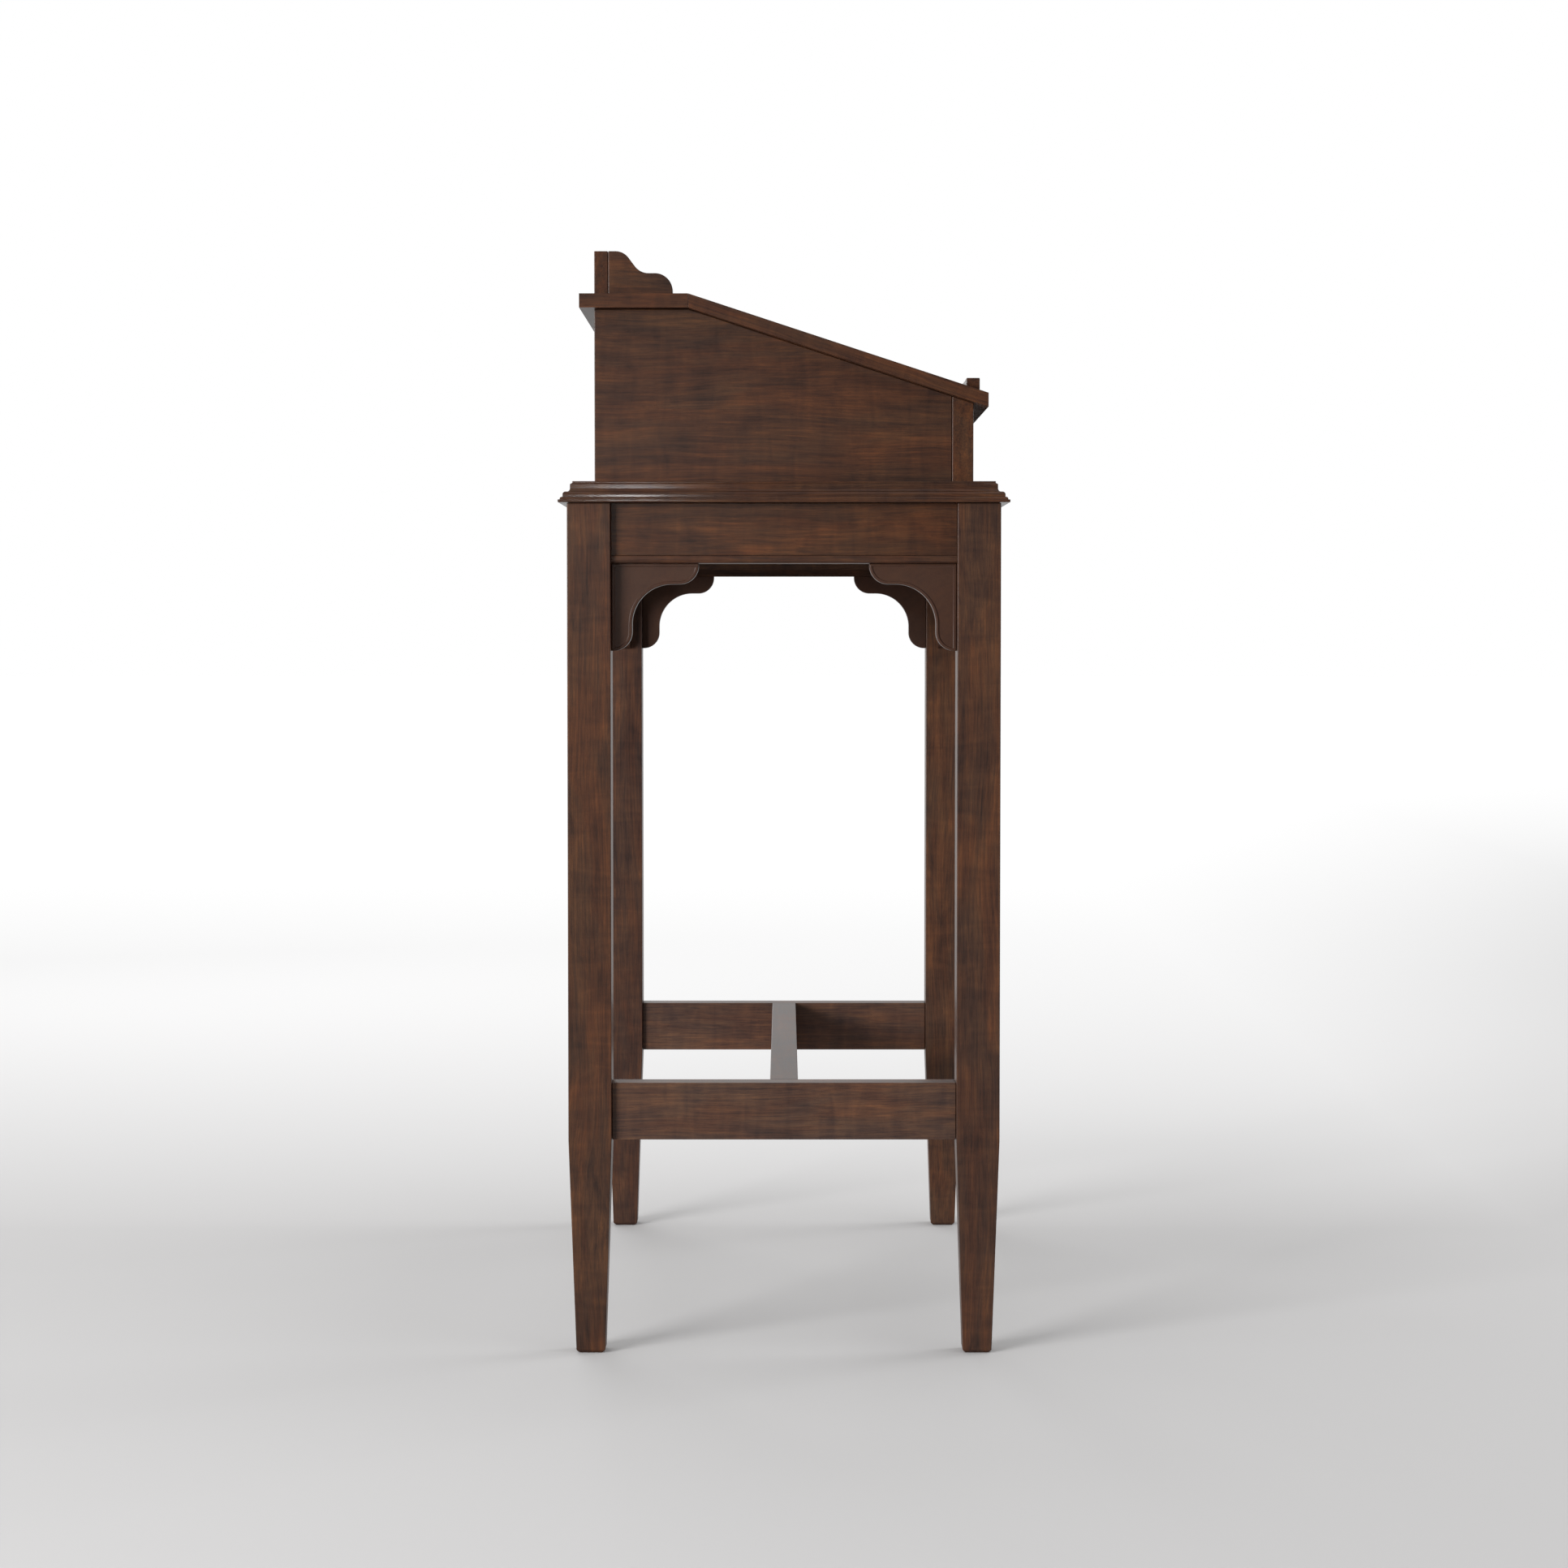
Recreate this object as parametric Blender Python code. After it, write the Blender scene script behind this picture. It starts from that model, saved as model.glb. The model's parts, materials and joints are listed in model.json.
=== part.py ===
"""Album stand: a slant-top case with a hinged lid, on a moulded table with four tapered legs.

Metres, +Z up. The origin is on the floor, under the middle of the stand. X runs along the stand, and
its reader stands at -Y, so left is -X. The lid turns about the seam in front of the flat top board.
"""

import math

import bmesh
import bpy
from mathutils import Matrix, Vector

GAP = 0.0003  # what two pieces that touch keep between them
FIT = 0.0005  # clearance of a moving or loose fit
OVERSHOOT = 0.002  # how far a cutter runs past what it cuts

# Frame
FRAME_X = 0.4157  # from the middle to the legs' outer faces
FRAME_Y = 0.2245
LEG = 0.0450
LEG_TOP = 0.8870
FOOT = 0.0302
FOOT_CHAMFER = 0.0030
APRON_BOTTOM = 0.8249  # under the bead
APRON_THICK = 0.0220
APRON_RECESS = 0.0090
APRON_TENON = 0.0120
APRON_SHOULDER = 0.0060
BEAD_HIGH = 0.0078
BEAD_PROUD = 0.0025
STRETCHER_BOTTOM = 0.2245
STRETCHER_TOP = 0.2840
STRETCHER_THICK = 0.0293
STRETCHER_TENON = 0.0120
STRETCHER_SHOULDER = 0.0070

# Corner brackets: square of BRACKET, with a quarter-round nose at each end and a hollow between
BRACKET = 0.0906
BRACKET_THICK = 0.0160
BRACKET_NOSE = 0.0214
BRACKET_NOSE_RADIUS = 0.0197
BRACKET_HOLLOW_RADIUS = 0.0416

# Corner blocks and the bolts that draw the legs in
BLOCK_NEAR = 0.0300  # along each apron, from the inner corner of the aprons
BLOCK_FAR = 0.0620
BLOCK_HIGH = 0.0400
BOLT_RADIUS = 0.0030
BOLT_IN_LEG = 0.0280
NUT_RADIUS = 0.0055
NUT_HIGH = 0.0050
WASHER_RADIUS = 0.0080
WASHER_THICK = 0.0015
THREAD_PAST_NUT = 0.0060

# Moulded table top: the lip stands past the legs
TOP_LIP = 0.0089
TOP_THICK = 0.0222
TOP_BOTTOM = LEG_TOP + GAP

# Case
CASE_X = 0.3863
CASE_Y = 0.1972
CASE_BOTTOM = TOP_BOTTOM + TOP_THICK + GAP
SIDE_THICK = 0.0160
FRONT_THICK = 0.0222
BACK_THICK = 0.0140
BOARD_X = 0.4023  # half length of the flat board and the lid
BOARD_THICK = 0.0145
BOARD_TOP = 1.1036
BOARD_BACK = 0.2121
SEAM_Y = 0.0993
LID_FRONT = -0.2120
LID_FRONT_TOP = 1.0013
LID_FALL = (BOARD_TOP - LID_FRONT_TOP) / (SEAM_Y - LID_FRONT)
LID_ANGLE = math.atan(LID_FALL)
LEDGE_FRONT = -0.2037
LEDGE_THICK = 0.0139
LEDGE_TOP = 1.0177
LEDGE_X = 0.3863
LEDGE_RELIEF = 0.0004  # extra room behind the ledge, so that a sheet square to the slope meets its face
HOUSING = 0.0030  # how deep the ledge and the gallery stand in their grooves

# Gallery
GALLERY_HIGH = 0.0452
GALLERY_THICK = 0.0142
SCROLL_THICK = 0.0140
SCROLL_HIGH = 0.0452
SCROLL_FLAT = 0.0076
SCROLL_SLOPE = math.radians(53)
SCROLL_UPPER_RADIUS = 0.0170
SCROLL_LOWER_RADIUS = 0.0177
SCROLL_WAIST = 0.0225
SCROLL_NOSE = 0.0670
SCROLL_NOSE_RADIUS = 0.0185

# Butt hinges, let in flush at the seam
HINGE_X = 0.2800
HINGE_RISE = 0.0006  # the axis above the boards' top
HINGE_LONG = 0.0560
MIDDLE_KNUCKLE = 0.0182
LEAF_WIDE = 0.0200
LEAF_THICK = 0.0016
BARREL_RADIUS = 0.0030
PIN_RADIUS = 0.0018
PIN_HEAD_RADIUS = 0.0026
PIN_HEAD = 0.0008
SCREW_X = 0.0180
SCREW_Y = 0.0125
SCREW_LONG = 0.0110
SCREW_RADIUS = 0.0014
SCREW_HEAD_RADIUS = 0.0028
SCREW_HEAD = 0.0012

# Quadrant stays: an arc about the hinge axis, through a keeper on the case side
STAY_RADIUS = 0.0750
STAY_X = 0.3605  # the middle of the band
STAY_THICK = 0.0030
STAY_WIDE = 0.0080
STOP_WIDE = 0.0130
LID_OPENS = math.radians(112)
KEEPER_ANGLE = math.radians(40)  # below the level, in front of the axis
KEEPER_HALF = 0.0050  # along the arc
KEEPER_RADIAL = 0.0160
STOP_ARC = math.radians(4)
FOOT_LONG = 0.0320
FOOT_WIDE = 0.0120
FOOT_THICK = 0.0020

ROUND = 16  # sides of a small round piece
HINGE_AXIS = Vector((0, SEAM_Y, BOARD_TOP + HINGE_RISE))

SIDES = {"left": -1, "right": 1}
ENDS = {"front": -1, "back": 1}


def clear_scene():
    for obj in list(bpy.data.objects):
        bpy.data.objects.remove(obj, do_unlink=True)


def material(name, colour, roughness, metallic=0.0):
    made = bpy.data.materials.new(name)
    made.use_nodes = True
    shader = made.node_tree.nodes["Principled BSDF"]
    shader.inputs["Base Color"].default_value = (*colour, 1)
    shader.inputs["Roughness"].default_value = roughness
    shader.inputs["Metallic"].default_value = metallic
    made.diffuse_color = (*colour, 1)
    return made


# ---------------------------------------------------------------- shapes

def mesh_object(name, bm, look, at=(0, 0, 0)):
    """The bmesh as an object, with its own origin at `at` and its points about that origin."""
    bmesh.ops.recalc_face_normals(bm, faces=bm.faces)
    mesh = bpy.data.meshes.new(name)
    bm.to_mesh(mesh)
    bm.free()
    if look is not None:
        mesh.materials.append(look)
    obj = bpy.data.objects.new(name, mesh)
    obj.location = at
    bpy.context.scene.collection.objects.link(obj)
    return obj


def box_mesh(size):
    bm = bmesh.new()
    bmesh.ops.create_cube(bm, size=1)
    bmesh.ops.scale(bm, vec=size, verts=bm.verts)
    return bm


def block(name, look, x, y, z):
    """A plain board between the limits given along each axis."""
    spans = (x, y, z)
    centre = [(low + high) / 2 for low, high in spans]
    return mesh_object(name, box_mesh([high - low for low, high in spans]), look, centre)


def prism_mesh(outline, along, low, high):
    """An outline in the two other axes, extruded along one axis from low to high."""
    bm = bmesh.new()
    corners = []
    for first, second in outline:
        point = [first, second]
        point.insert("XYZ".index(along), low)
        corners.append(bm.verts.new(point))
    face = bm.faces.new(corners)
    grown = bmesh.ops.extrude_face_region(bm, geom=[face])
    step = Vector((0, 0, 0))
    step["XYZ".index(along)] = high - low
    moved = [part for part in grown["geom"] if isinstance(part, bmesh.types.BMVert)]
    bmesh.ops.translate(bm, vec=step, verts=moved)
    return bm


def loft_mesh(rings):
    """Closed rings of equally many points, skinned in order and capped at both ends."""
    bm = bmesh.new()
    loops = [[bm.verts.new(point) for point in ring] for ring in rings]
    count = len(loops[0])
    for lower, upper in zip(loops, loops[1:]):
        for i in range(count):
            j = (i + 1) % count
            bm.faces.new((lower[i], lower[j], upper[j], upper[i]))
    bm.faces.new(loops[0])
    bm.faces.new(loops[-1])
    return bm


def rectangle(half_x, half_y, z):
    return [(-half_x, -half_y, z), (half_x, -half_y, z), (half_x, half_y, z), (-half_x, half_y, z)]


def circle(radius, z, sides=ROUND):
    """A level ring of points, starting on +X."""
    turns = [2 * math.pi * i / sides for i in range(sides)]
    return [(radius * math.cos(turn), radius * math.sin(turn), z) for turn in turns]


def hexagon(radius, z, sides):
    """A hexagon's outline with as many points as a ring of `sides`, so that the two can be skinned."""
    flat = radius * math.cos(math.pi / 6)
    ring = []
    for i in range(sides):
        turn = 2 * math.pi * i / sides
        reach = flat / math.cos((turn % (math.pi / 3)) - math.pi / 6)
        ring.append((reach * math.cos(turn), reach * math.sin(turn), z))
    return ring


def arc(centre, radius, start, stop, steps):
    """Points of an arc in a plane, both ends included."""
    turns = [start + (stop - start) * i / steps for i in range(steps + 1)]
    return [(centre[0] + radius * math.cos(t), centre[1] + radius * math.sin(t)) for t in turns]


def turned_mesh(profile):
    """A round piece about Z from (radius, height) points, bottom to top."""
    return loft_mesh([circle(radius, z) for radius, z in profile])


def shade_round(obj):
    obj.data.shade_smooth()
    obj.data.set_sharp_from_angle(angle=math.radians(40))


def boolean(obj, other, operation="DIFFERENCE"):
    """Cuts the helper from the object, or adds it, and leaves the helper out of the model."""
    modifier = obj.modifiers.new(other.name, "BOOLEAN")
    modifier.object = other
    modifier.operation = operation
    modifier.solver = "EXACT"
    other.hide_render = True
    other.display_type = "WIRE"


def hang_on(parent, *objects):
    """Parents the objects and keeps them where they are; the parent only has a location."""
    for obj in objects:
        obj.parent = parent
        obj.location = Vector(obj.location) - parent.location


def tenoned_board(name, look, x, y, z, along, tenon, shoulder):
    """A board with a centred tenon on each end: the end is inset by the shoulder, then drawn out."""
    spans = (x, y, z)
    centre = [(low + high) / 2 for low, high in spans]
    axis = "XYZ".index(along)
    bm = box_mesh([high - low for low, high in spans])
    bm.normal_update()
    for end in [face for face in bm.faces if abs(face.normal[axis]) > 0.5]:
        outwards = end.normal.copy()
        bmesh.ops.inset_individual(bm, faces=[end], thickness=shoulder, use_even_offset=True)
        drawn = bmesh.ops.extrude_discrete_faces(bm, faces=[end])["faces"][0]
        bmesh.ops.translate(bm, vec=outwards * tenon, verts=drawn.verts)
    return mesh_object(name, bm, look, centre)


def mortise(board_name, end, x, y, z):
    """The pocket that takes a tenon, with clearance on every side."""
    spans = [(low - GAP, high + GAP) for low, high in (x, y, z)]
    return block(f"{board_name}_{end}_mortise", None, *spans)


# ---------------------------------------------------------------- the table frame

def leg(side, end, look):
    """Square above the stretchers, and tapered on all four faces below them."""
    half = LEG / 2
    foot = FOOT / 2
    rings = [
        rectangle(foot - FOOT_CHAMFER, foot - FOOT_CHAMFER, 0),
        rectangle(foot, foot, FOOT_CHAMFER),
        rectangle(half, half, STRETCHER_BOTTOM),
        rectangle(half, half, LEG_TOP),
    ]
    at = (SIDES[side] * (FRAME_X - half), ENDS[end] * (FRAME_Y - half), 0)
    return mesh_object(f"leg_{end}_{side}", loft_mesh(rings), look, at)


def ordered(first, second):
    return (min(first, second), max(first, second))


def end_aprons(look):
    """The aprons at the left and right ends, and the pockets for them in the legs."""
    made = {}
    outer = FRAME_X - APRON_RECESS
    inner = outer - APRON_THICK
    reach = FRAME_Y - LEG - GAP
    z = (APRON_BOTTOM + BEAD_HIGH + GAP, LEG_TOP)
    for side, sign in SIDES.items():
        x = ordered(sign * inner, sign * outer)
        name = f"apron_{side}"
        board = tenoned_board(name, look, x, (-reach, reach), z, "Y", APRON_TENON, APRON_SHOULDER)
        pocket_x = (x[0] + APRON_SHOULDER, x[1] - APRON_SHOULDER)
        pocket_z = (z[0] + APRON_SHOULDER, z[1] - APRON_SHOULDER)
        pockets = {}
        for end, way in ENDS.items():
            pocket_y = ordered(way * (reach - OVERSHOOT), way * (reach + APRON_TENON))
            pockets[end] = mortise(name, end, pocket_x, pocket_y, pocket_z)
        made[side] = (board, pockets)
    return made


def long_aprons(look):
    """The aprons along the front and the back, and the pockets for them in the legs."""
    made = {}
    outer = FRAME_Y - APRON_RECESS
    inner = outer - APRON_THICK
    reach = FRAME_X - LEG - GAP
    z = (APRON_BOTTOM + BEAD_HIGH + GAP, LEG_TOP)
    for end, sign in ENDS.items():
        y = ordered(sign * inner, sign * outer)
        name = f"apron_{end}"
        board = tenoned_board(name, look, (-reach, reach), y, z, "X", APRON_TENON, APRON_SHOULDER)
        pocket_y = (y[0] + APRON_SHOULDER, y[1] - APRON_SHOULDER)
        pocket_z = (z[0] + APRON_SHOULDER, z[1] - APRON_SHOULDER)
        pockets = {}
        for side, way in SIDES.items():
            pocket_x = ordered(way * (reach - OVERSHOOT), way * (reach + APRON_TENON))
            pockets[side] = mortise(name, side, pocket_x, pocket_y, pocket_z)
        made[end] = (board, pockets)
    return made


def bead_outline(sign, face, inner):
    """A strip as wide as the apron, whose outer edge is a half round that stands proud of its face."""
    radius = BEAD_HIGH / 2
    middle = APRON_BOTTOM + radius
    nose = sign * (face + BEAD_PROUD - radius)
    start = math.radians(-90) * sign
    edge = arc((nose, middle), sign * radius, start, start + math.pi * sign, 8)
    if edge[0][1] > edge[-1][1]:
        edge.reverse()
    return [(sign * inner, APRON_BOTTOM), *edge, (sign * inner, APRON_BOTTOM + BEAD_HIGH)]


def beads(look):
    for side, sign in SIDES.items():
        face = FRAME_X - APRON_RECESS
        outline = bead_outline(sign, face, face - APRON_THICK)
        reach = FRAME_Y - LEG - GAP
        swapped = [(x, z) for x, z in outline]
        shade_round(mesh_object(f"bead_{side}", prism_mesh(swapped, "Y", -reach, reach), look))
    for end, sign in ENDS.items():
        face = FRAME_Y - APRON_RECESS
        outline = bead_outline(sign, face, face - APRON_THICK)
        reach = FRAME_X - LEG - GAP
        shade_round(mesh_object(f"bead_{end}", prism_mesh(outline, "X", -reach, reach), look))


def bracket_outline():
    """The bracket in its own plane: the leg along x = 0 and the apron along z = 0, the body below it."""
    quarter = math.pi / 2
    nose = BRACKET - BRACKET_NOSE_RADIUS
    rim = BRACKET_NOSE - BRACKET_NOSE_RADIUS
    hollow = BRACKET_NOSE + BRACKET_HOLLOW_RADIUS
    return [
        (0, 0),
        (BRACKET, 0),
        *arc((nose, -rim), BRACKET_NOSE_RADIUS, 0, -quarter, 6),
        *arc((hollow, -hollow), BRACKET_HOLLOW_RADIUS, quarter, 2 * quarter, 9),
        *arc((rim, -nose), BRACKET_NOSE_RADIUS, 0, -quarter, 6),
        (0, -BRACKET),
    ]


def brackets(look):
    """Eight alike, one on each side of each leg; the heading turns local +X along the apron."""
    pattern = prism_mesh(bracket_outline(), "Y", -BRACKET_THICK / 2, BRACKET_THICK / 2)
    first = mesh_object("bracket_pattern", pattern, look)
    mesh = first.data
    bpy.data.objects.remove(first)
    mesh.name = "bracket"
    top = APRON_BOTTOM - GAP
    from_middle = LEG / 2
    for side, x_sign in SIDES.items():
        for end, y_sign in ENDS.items():
            at_end = (x_sign * (FRAME_X - from_middle), y_sign * (FRAME_Y - LEG - GAP), top)
            at_long = (x_sign * (FRAME_X - LEG - GAP), y_sign * (FRAME_Y - from_middle), top)
            places = {
                f"bracket_{side}_{end}": (at_end, -y_sign * math.pi / 2),
                f"bracket_{end}_{side}": (at_long, 0 if x_sign < 0 else math.pi),
            }
            for name, (at, heading) in places.items():
                piece = bpy.data.objects.new(name, mesh)
                piece.location = at
                piece.rotation_euler.z = heading
                bpy.context.scene.collection.objects.link(piece)


def stretchers(look):
    """Two across the ends and one along the middle, tenoned into them."""
    pockets = {}
    recess = (LEG - STRETCHER_THICK) / 2
    outer = FRAME_X - recess
    inner = outer - STRETCHER_THICK
    z = (STRETCHER_BOTTOM, STRETCHER_TOP)
    z_pocket = (z[0] + STRETCHER_SHOULDER, z[1] - STRETCHER_SHOULDER)
    reach_y = FRAME_Y - LEG - GAP
    reach_x = inner - GAP
    half = STRETCHER_THICK / 2
    tenon = (STRETCHER_TENON, STRETCHER_SHOULDER)
    tenoned_board("stretcher_centre", look, (-reach_x, reach_x), (-half, half), z, "X", *tenon)
    y_pocket = (-half + STRETCHER_SHOULDER, half - STRETCHER_SHOULDER)
    for side, sign in SIDES.items():
        x = ordered(sign * inner, sign * outer)
        name = f"stretcher_{side}"
        board = tenoned_board(name, look, x, (-reach_y, reach_y), z, "Y", *tenon)
        x_in = ordered(sign * (inner - OVERSHOOT), sign * (reach_x + STRETCHER_TENON))
        boolean(board, mortise("stretcher_centre", side, x_in, y_pocket, z_pocket))
        x_pocket = (x[0] + STRETCHER_SHOULDER, x[1] - STRETCHER_SHOULDER)
        for end, way in ENDS.items():
            y_in = ordered(way * (reach_y - OVERSHOOT), way * (reach_y + STRETCHER_TENON))
            pockets[side, end] = mortise(name, end, x_pocket, y_in, z_pocket)
    return pockets


def bolt_profile():
    """From the point in the leg to the end of the thread: (radius, distance from the block's face)."""
    washer = WASHER_THICK + GAP
    nut = washer + NUT_HIGH
    return {"washer": (GAP, washer), "nut": (washer, nut), "end": nut + THREAD_PAST_NUT}


def corner_bolt_mesh(length_in):
    """One body along Z: thread, washer and nut; z = 0 is the block's face, and the leg is below it."""
    place = bolt_profile()
    sides = 12
    rings = [
        circle(BOLT_RADIUS * 0.5, -length_in, sides),
        circle(BOLT_RADIUS, -length_in + BOLT_RADIUS, sides),
        circle(BOLT_RADIUS, place["washer"][0], sides),
        circle(WASHER_RADIUS, place["washer"][0], sides),
        circle(WASHER_RADIUS, place["washer"][1], sides),
        hexagon(NUT_RADIUS, place["nut"][0], sides),
        hexagon(NUT_RADIUS, place["nut"][1], sides),
        circle(BOLT_RADIUS, place["nut"][1], sides),
        circle(BOLT_RADIUS, place["end"], sides),
    ]
    return loft_mesh(rings)


def corner_blocks(legs, wood, steel):
    """A block across each corner of the aprons, and a bolt through it into the leg's inner edge."""
    corner_x = FRAME_X - APRON_RECESS - APRON_THICK
    corner_y = FRAME_Y - APRON_RECESS - APRON_THICK
    middle_z = (APRON_BOTTOM + BEAD_HIGH + LEG_TOP) / 2
    to_leg = (LEG - APRON_RECESS - APRON_THICK) * math.sqrt(2)
    face = BLOCK_FAR / math.sqrt(2)
    low, high = middle_z - BLOCK_HIGH / 2, middle_z + BLOCK_HIGH / 2
    for side, x_sign in SIDES.items():
        for end, y_sign in ENDS.items():
            outline = [(GAP, BLOCK_NEAR), (GAP, BLOCK_FAR), (BLOCK_FAR, GAP), (BLOCK_NEAR, GAP)]
            corners = [(x_sign * (corner_x - a), y_sign * (corner_y - b)) for a, b in outline]
            name = f"{end}_{side}"
            piece = mesh_object(f"corner_block_{name}", prism_mesh(corners, "Z", low, high), wood)
            inwards = Vector((-x_sign, -y_sign, 0)).normalized()
            start = Vector((x_sign * corner_x, y_sign * corner_y, middle_z)) + inwards * face
            turn = inwards.to_track_quat("Z", "Y")
            bolt = mesh_object(
                f"corner_bolt_{name}", corner_bolt_mesh(face - to_leg + BOLT_IN_LEG), steel, start
            )
            hole = mesh_object(
                f"corner_bolt_{name}_hole",
                turned_mesh([
                    (BOLT_RADIUS + GAP, -(face - to_leg + BOLT_IN_LEG + OVERSHOOT)),
                    (BOLT_RADIUS + GAP, OVERSHOOT),
                ]),
                None,
                start,
            )
            for obj in (bolt, hole):
                obj.rotation_mode = "QUATERNION"
                obj.rotation_quaternion = turn
            boolean(piece, hole)
            boolean(legs[side, end], hole)


def table_top(look):
    """One board whose four edges carry the moulding: a lip, two quarter rounds, a cove and a bevel."""
    quarter = math.pi / 2
    profile = [  # (inset from the lip, height), from the bottom up
        (0, 0),
        (0, 0.0022),
        (0.0019, 0.0022),
        *arc((0.0046, 0.0029), 0.0027, 2 * quarter, quarter, 4),
        *arc((0.0079, 0.0081), 0.0032, 2 * quarter, quarter, 4),
        *arc((0.0083, 0.0150), 0.0037, -quarter, 0, 4),
        (0.0120, 0.0182),
        (0.0148, 0.0214),
        (0.0148, TOP_THICK),
    ]
    rings = [
        rectangle(FRAME_X + TOP_LIP - inset, FRAME_Y + TOP_LIP - inset, height)
        for inset, height in profile
    ]
    mesh_object("table_top", loft_mesh(rings), look, (0, 0, TOP_BOTTOM))


def table(wood, bracket_wood, steel):
    legs = {(side, end): leg(side, end, wood) for side in SIDES for end in ENDS}
    aprons_at_ends = end_aprons(wood)
    aprons_along = long_aprons(wood)
    stretcher_pockets = stretchers(wood)
    for (side, end), post in legs.items():
        boolean(post, aprons_at_ends[side][1][end])
        boolean(post, aprons_along[end][1][side])
        boolean(post, stretcher_pockets[side, end])
    beads(wood)
    brackets(bracket_wood)
    corner_blocks(legs, wood, steel)
    table_top(wood)


# ---------------------------------------------------------------- the case

def lid_top(y):
    return BOARD_TOP - (SEAM_Y - y) * LID_FALL


def lid_underside(y):
    return lid_top(y) - BOARD_THICK


def case(look):
    """Sides, front and back; their tops follow the underside of the lid and the flat board."""
    joint = -CASE_Y + FRONT_THICK
    level = BOARD_TOP - BOARD_THICK - GAP
    side_outline = [
        (joint + GAP, CASE_BOTTOM),
        (CASE_Y, CASE_BOTTOM),
        (CASE_Y, level),
        (SEAM_Y, level),
        (joint + GAP, lid_underside(joint + GAP) - GAP),
    ]
    for side, sign in SIDES.items():
        x = ordered(sign * (CASE_X - SIDE_THICK), sign * CASE_X)
        mesh_object(f"case_side_{side}", prism_mesh(side_outline, "X", *x), look)
    front_outline = [
        (-CASE_Y, CASE_BOTTOM),
        (joint, CASE_BOTTOM),
        (joint, lid_underside(joint) - GAP),
        (-CASE_Y, lid_underside(-CASE_Y) - GAP),
    ]
    mesh_object("case_front", prism_mesh(front_outline, "X", -CASE_X, CASE_X), look)
    between = CASE_X - SIDE_THICK - GAP
    y = (CASE_Y - BACK_THICK, CASE_Y)
    block("case_back", look, (-between, between), y, (CASE_BOTTOM, level))
    flat_y = (SEAM_Y + GAP / 2, BOARD_BACK)
    flat_z = (BOARD_TOP - BOARD_THICK, BOARD_TOP)
    return block("case_top", look, (-BOARD_X, BOARD_X), flat_y, flat_z)


def scroll_outline():
    """The gallery's end piece: y forwards from the back board's face, z from the flat board's top."""
    quarter = math.pi / 2
    upper = (SCROLL_FLAT, SCROLL_HIGH - SCROLL_UPPER_RADIUS)
    top = arc(upper, SCROLL_UPPER_RADIUS, quarter, quarter - SCROLL_SLOPE, 5)
    drop = SCROLL_HIGH - SCROLL_WAIST
    both = SCROLL_UPPER_RADIUS + SCROLL_LOWER_RADIUS
    straight = (drop - both * (1 - math.cos(SCROLL_SLOPE))) / math.sin(SCROLL_SLOPE)
    run = both * math.sin(SCROLL_SLOPE) + straight * math.cos(SCROLL_SLOPE)
    lower = (SCROLL_FLAT + run, SCROLL_WAIST + SCROLL_LOWER_RADIUS)
    bottom = arc(lower, SCROLL_LOWER_RADIUS, -quarter - SCROLL_SLOPE, -quarter, 5)
    nose = (SCROLL_NOSE - SCROLL_NOSE_RADIUS, SCROLL_WAIST - SCROLL_NOSE_RADIUS)
    front = arc(nose, SCROLL_NOSE_RADIUS, quarter, 0, 7)
    foot = GAP - HOUSING
    ahead = [(0, foot), (0, SCROLL_HIGH), *top, *bottom, *front, (SCROLL_NOSE, foot)]
    return [(-y, z) for y, z in ahead]


def groove(name, board, x, y):
    """A shallow pocket in the top of the flat board."""
    spans = [(low - GAP, high + GAP) for low, high in (x, y)]
    boolean(board, block(name, None, *spans, (BOARD_TOP - HOUSING, BOARD_TOP + OVERSHOOT)))


def gallery(look, board):
    """The back board and the two scrolls in front of it, all standing in grooves."""
    face = CASE_Y - GALLERY_THICK
    z = (BOARD_TOP - HOUSING + GAP, BOARD_TOP + GALLERY_HIGH)
    block("gallery_back", look, (-CASE_X, CASE_X), (face, CASE_Y), z)
    groove("gallery_back_groove", board, (-CASE_X, CASE_X), (face, CASE_Y))
    outline = [(y + face - GAP, z + BOARD_TOP) for y, z in scroll_outline()]
    for side, sign in SIDES.items():
        x = ordered(sign * (CASE_X - SCROLL_THICK), sign * CASE_X)
        mesh_object(f"gallery_end_{side}", prism_mesh(outline, "X", *x), look)
        groove(f"gallery_end_{side}_groove", board, x, (face - GAP - SCROLL_NOSE, face))


def lid(look, axis):
    rear = SEAM_Y - GAP / 2
    outline = [
        (LID_FRONT, lid_underside(LID_FRONT)),
        (rear, lid_underside(rear)),
        (rear, lid_top(rear)),
        (LID_FRONT, lid_top(LID_FRONT)),
    ]
    board = mesh_object("lid", prism_mesh(outline, "X", -BOARD_X, BOARD_X), look)
    behind = LEDGE_FRONT + LEDGE_THICK
    sunk = GAP - HOUSING
    ledge_outline = [
        (LEDGE_FRONT, lid_top(LEDGE_FRONT) + sunk),
        (behind, lid_top(behind) + sunk),
        (behind, LEDGE_TOP),
        (LEDGE_FRONT, LEDGE_TOP),
    ]
    ledge = mesh_object("album_ledge", prism_mesh(ledge_outline, "X", -LEDGE_X, LEDGE_X), look)
    groove_front = LEDGE_FRONT - GAP
    groove_back = behind + GAP + LEDGE_RELIEF
    groove_outline = [
        (groove_front, lid_top(groove_front) - HOUSING),
        (groove_back, lid_top(groove_back) - HOUSING),
        (groove_back, LEDGE_TOP),
        (groove_front, LEDGE_TOP),
    ]
    reach = LEDGE_X + GAP
    boolean(board, mesh_object("album_ledge_groove", prism_mesh(groove_outline, "X", -reach, reach), None))
    hang_on(axis, board, ledge)
    return board


# ---------------------------------------------------------------- hinges

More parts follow.
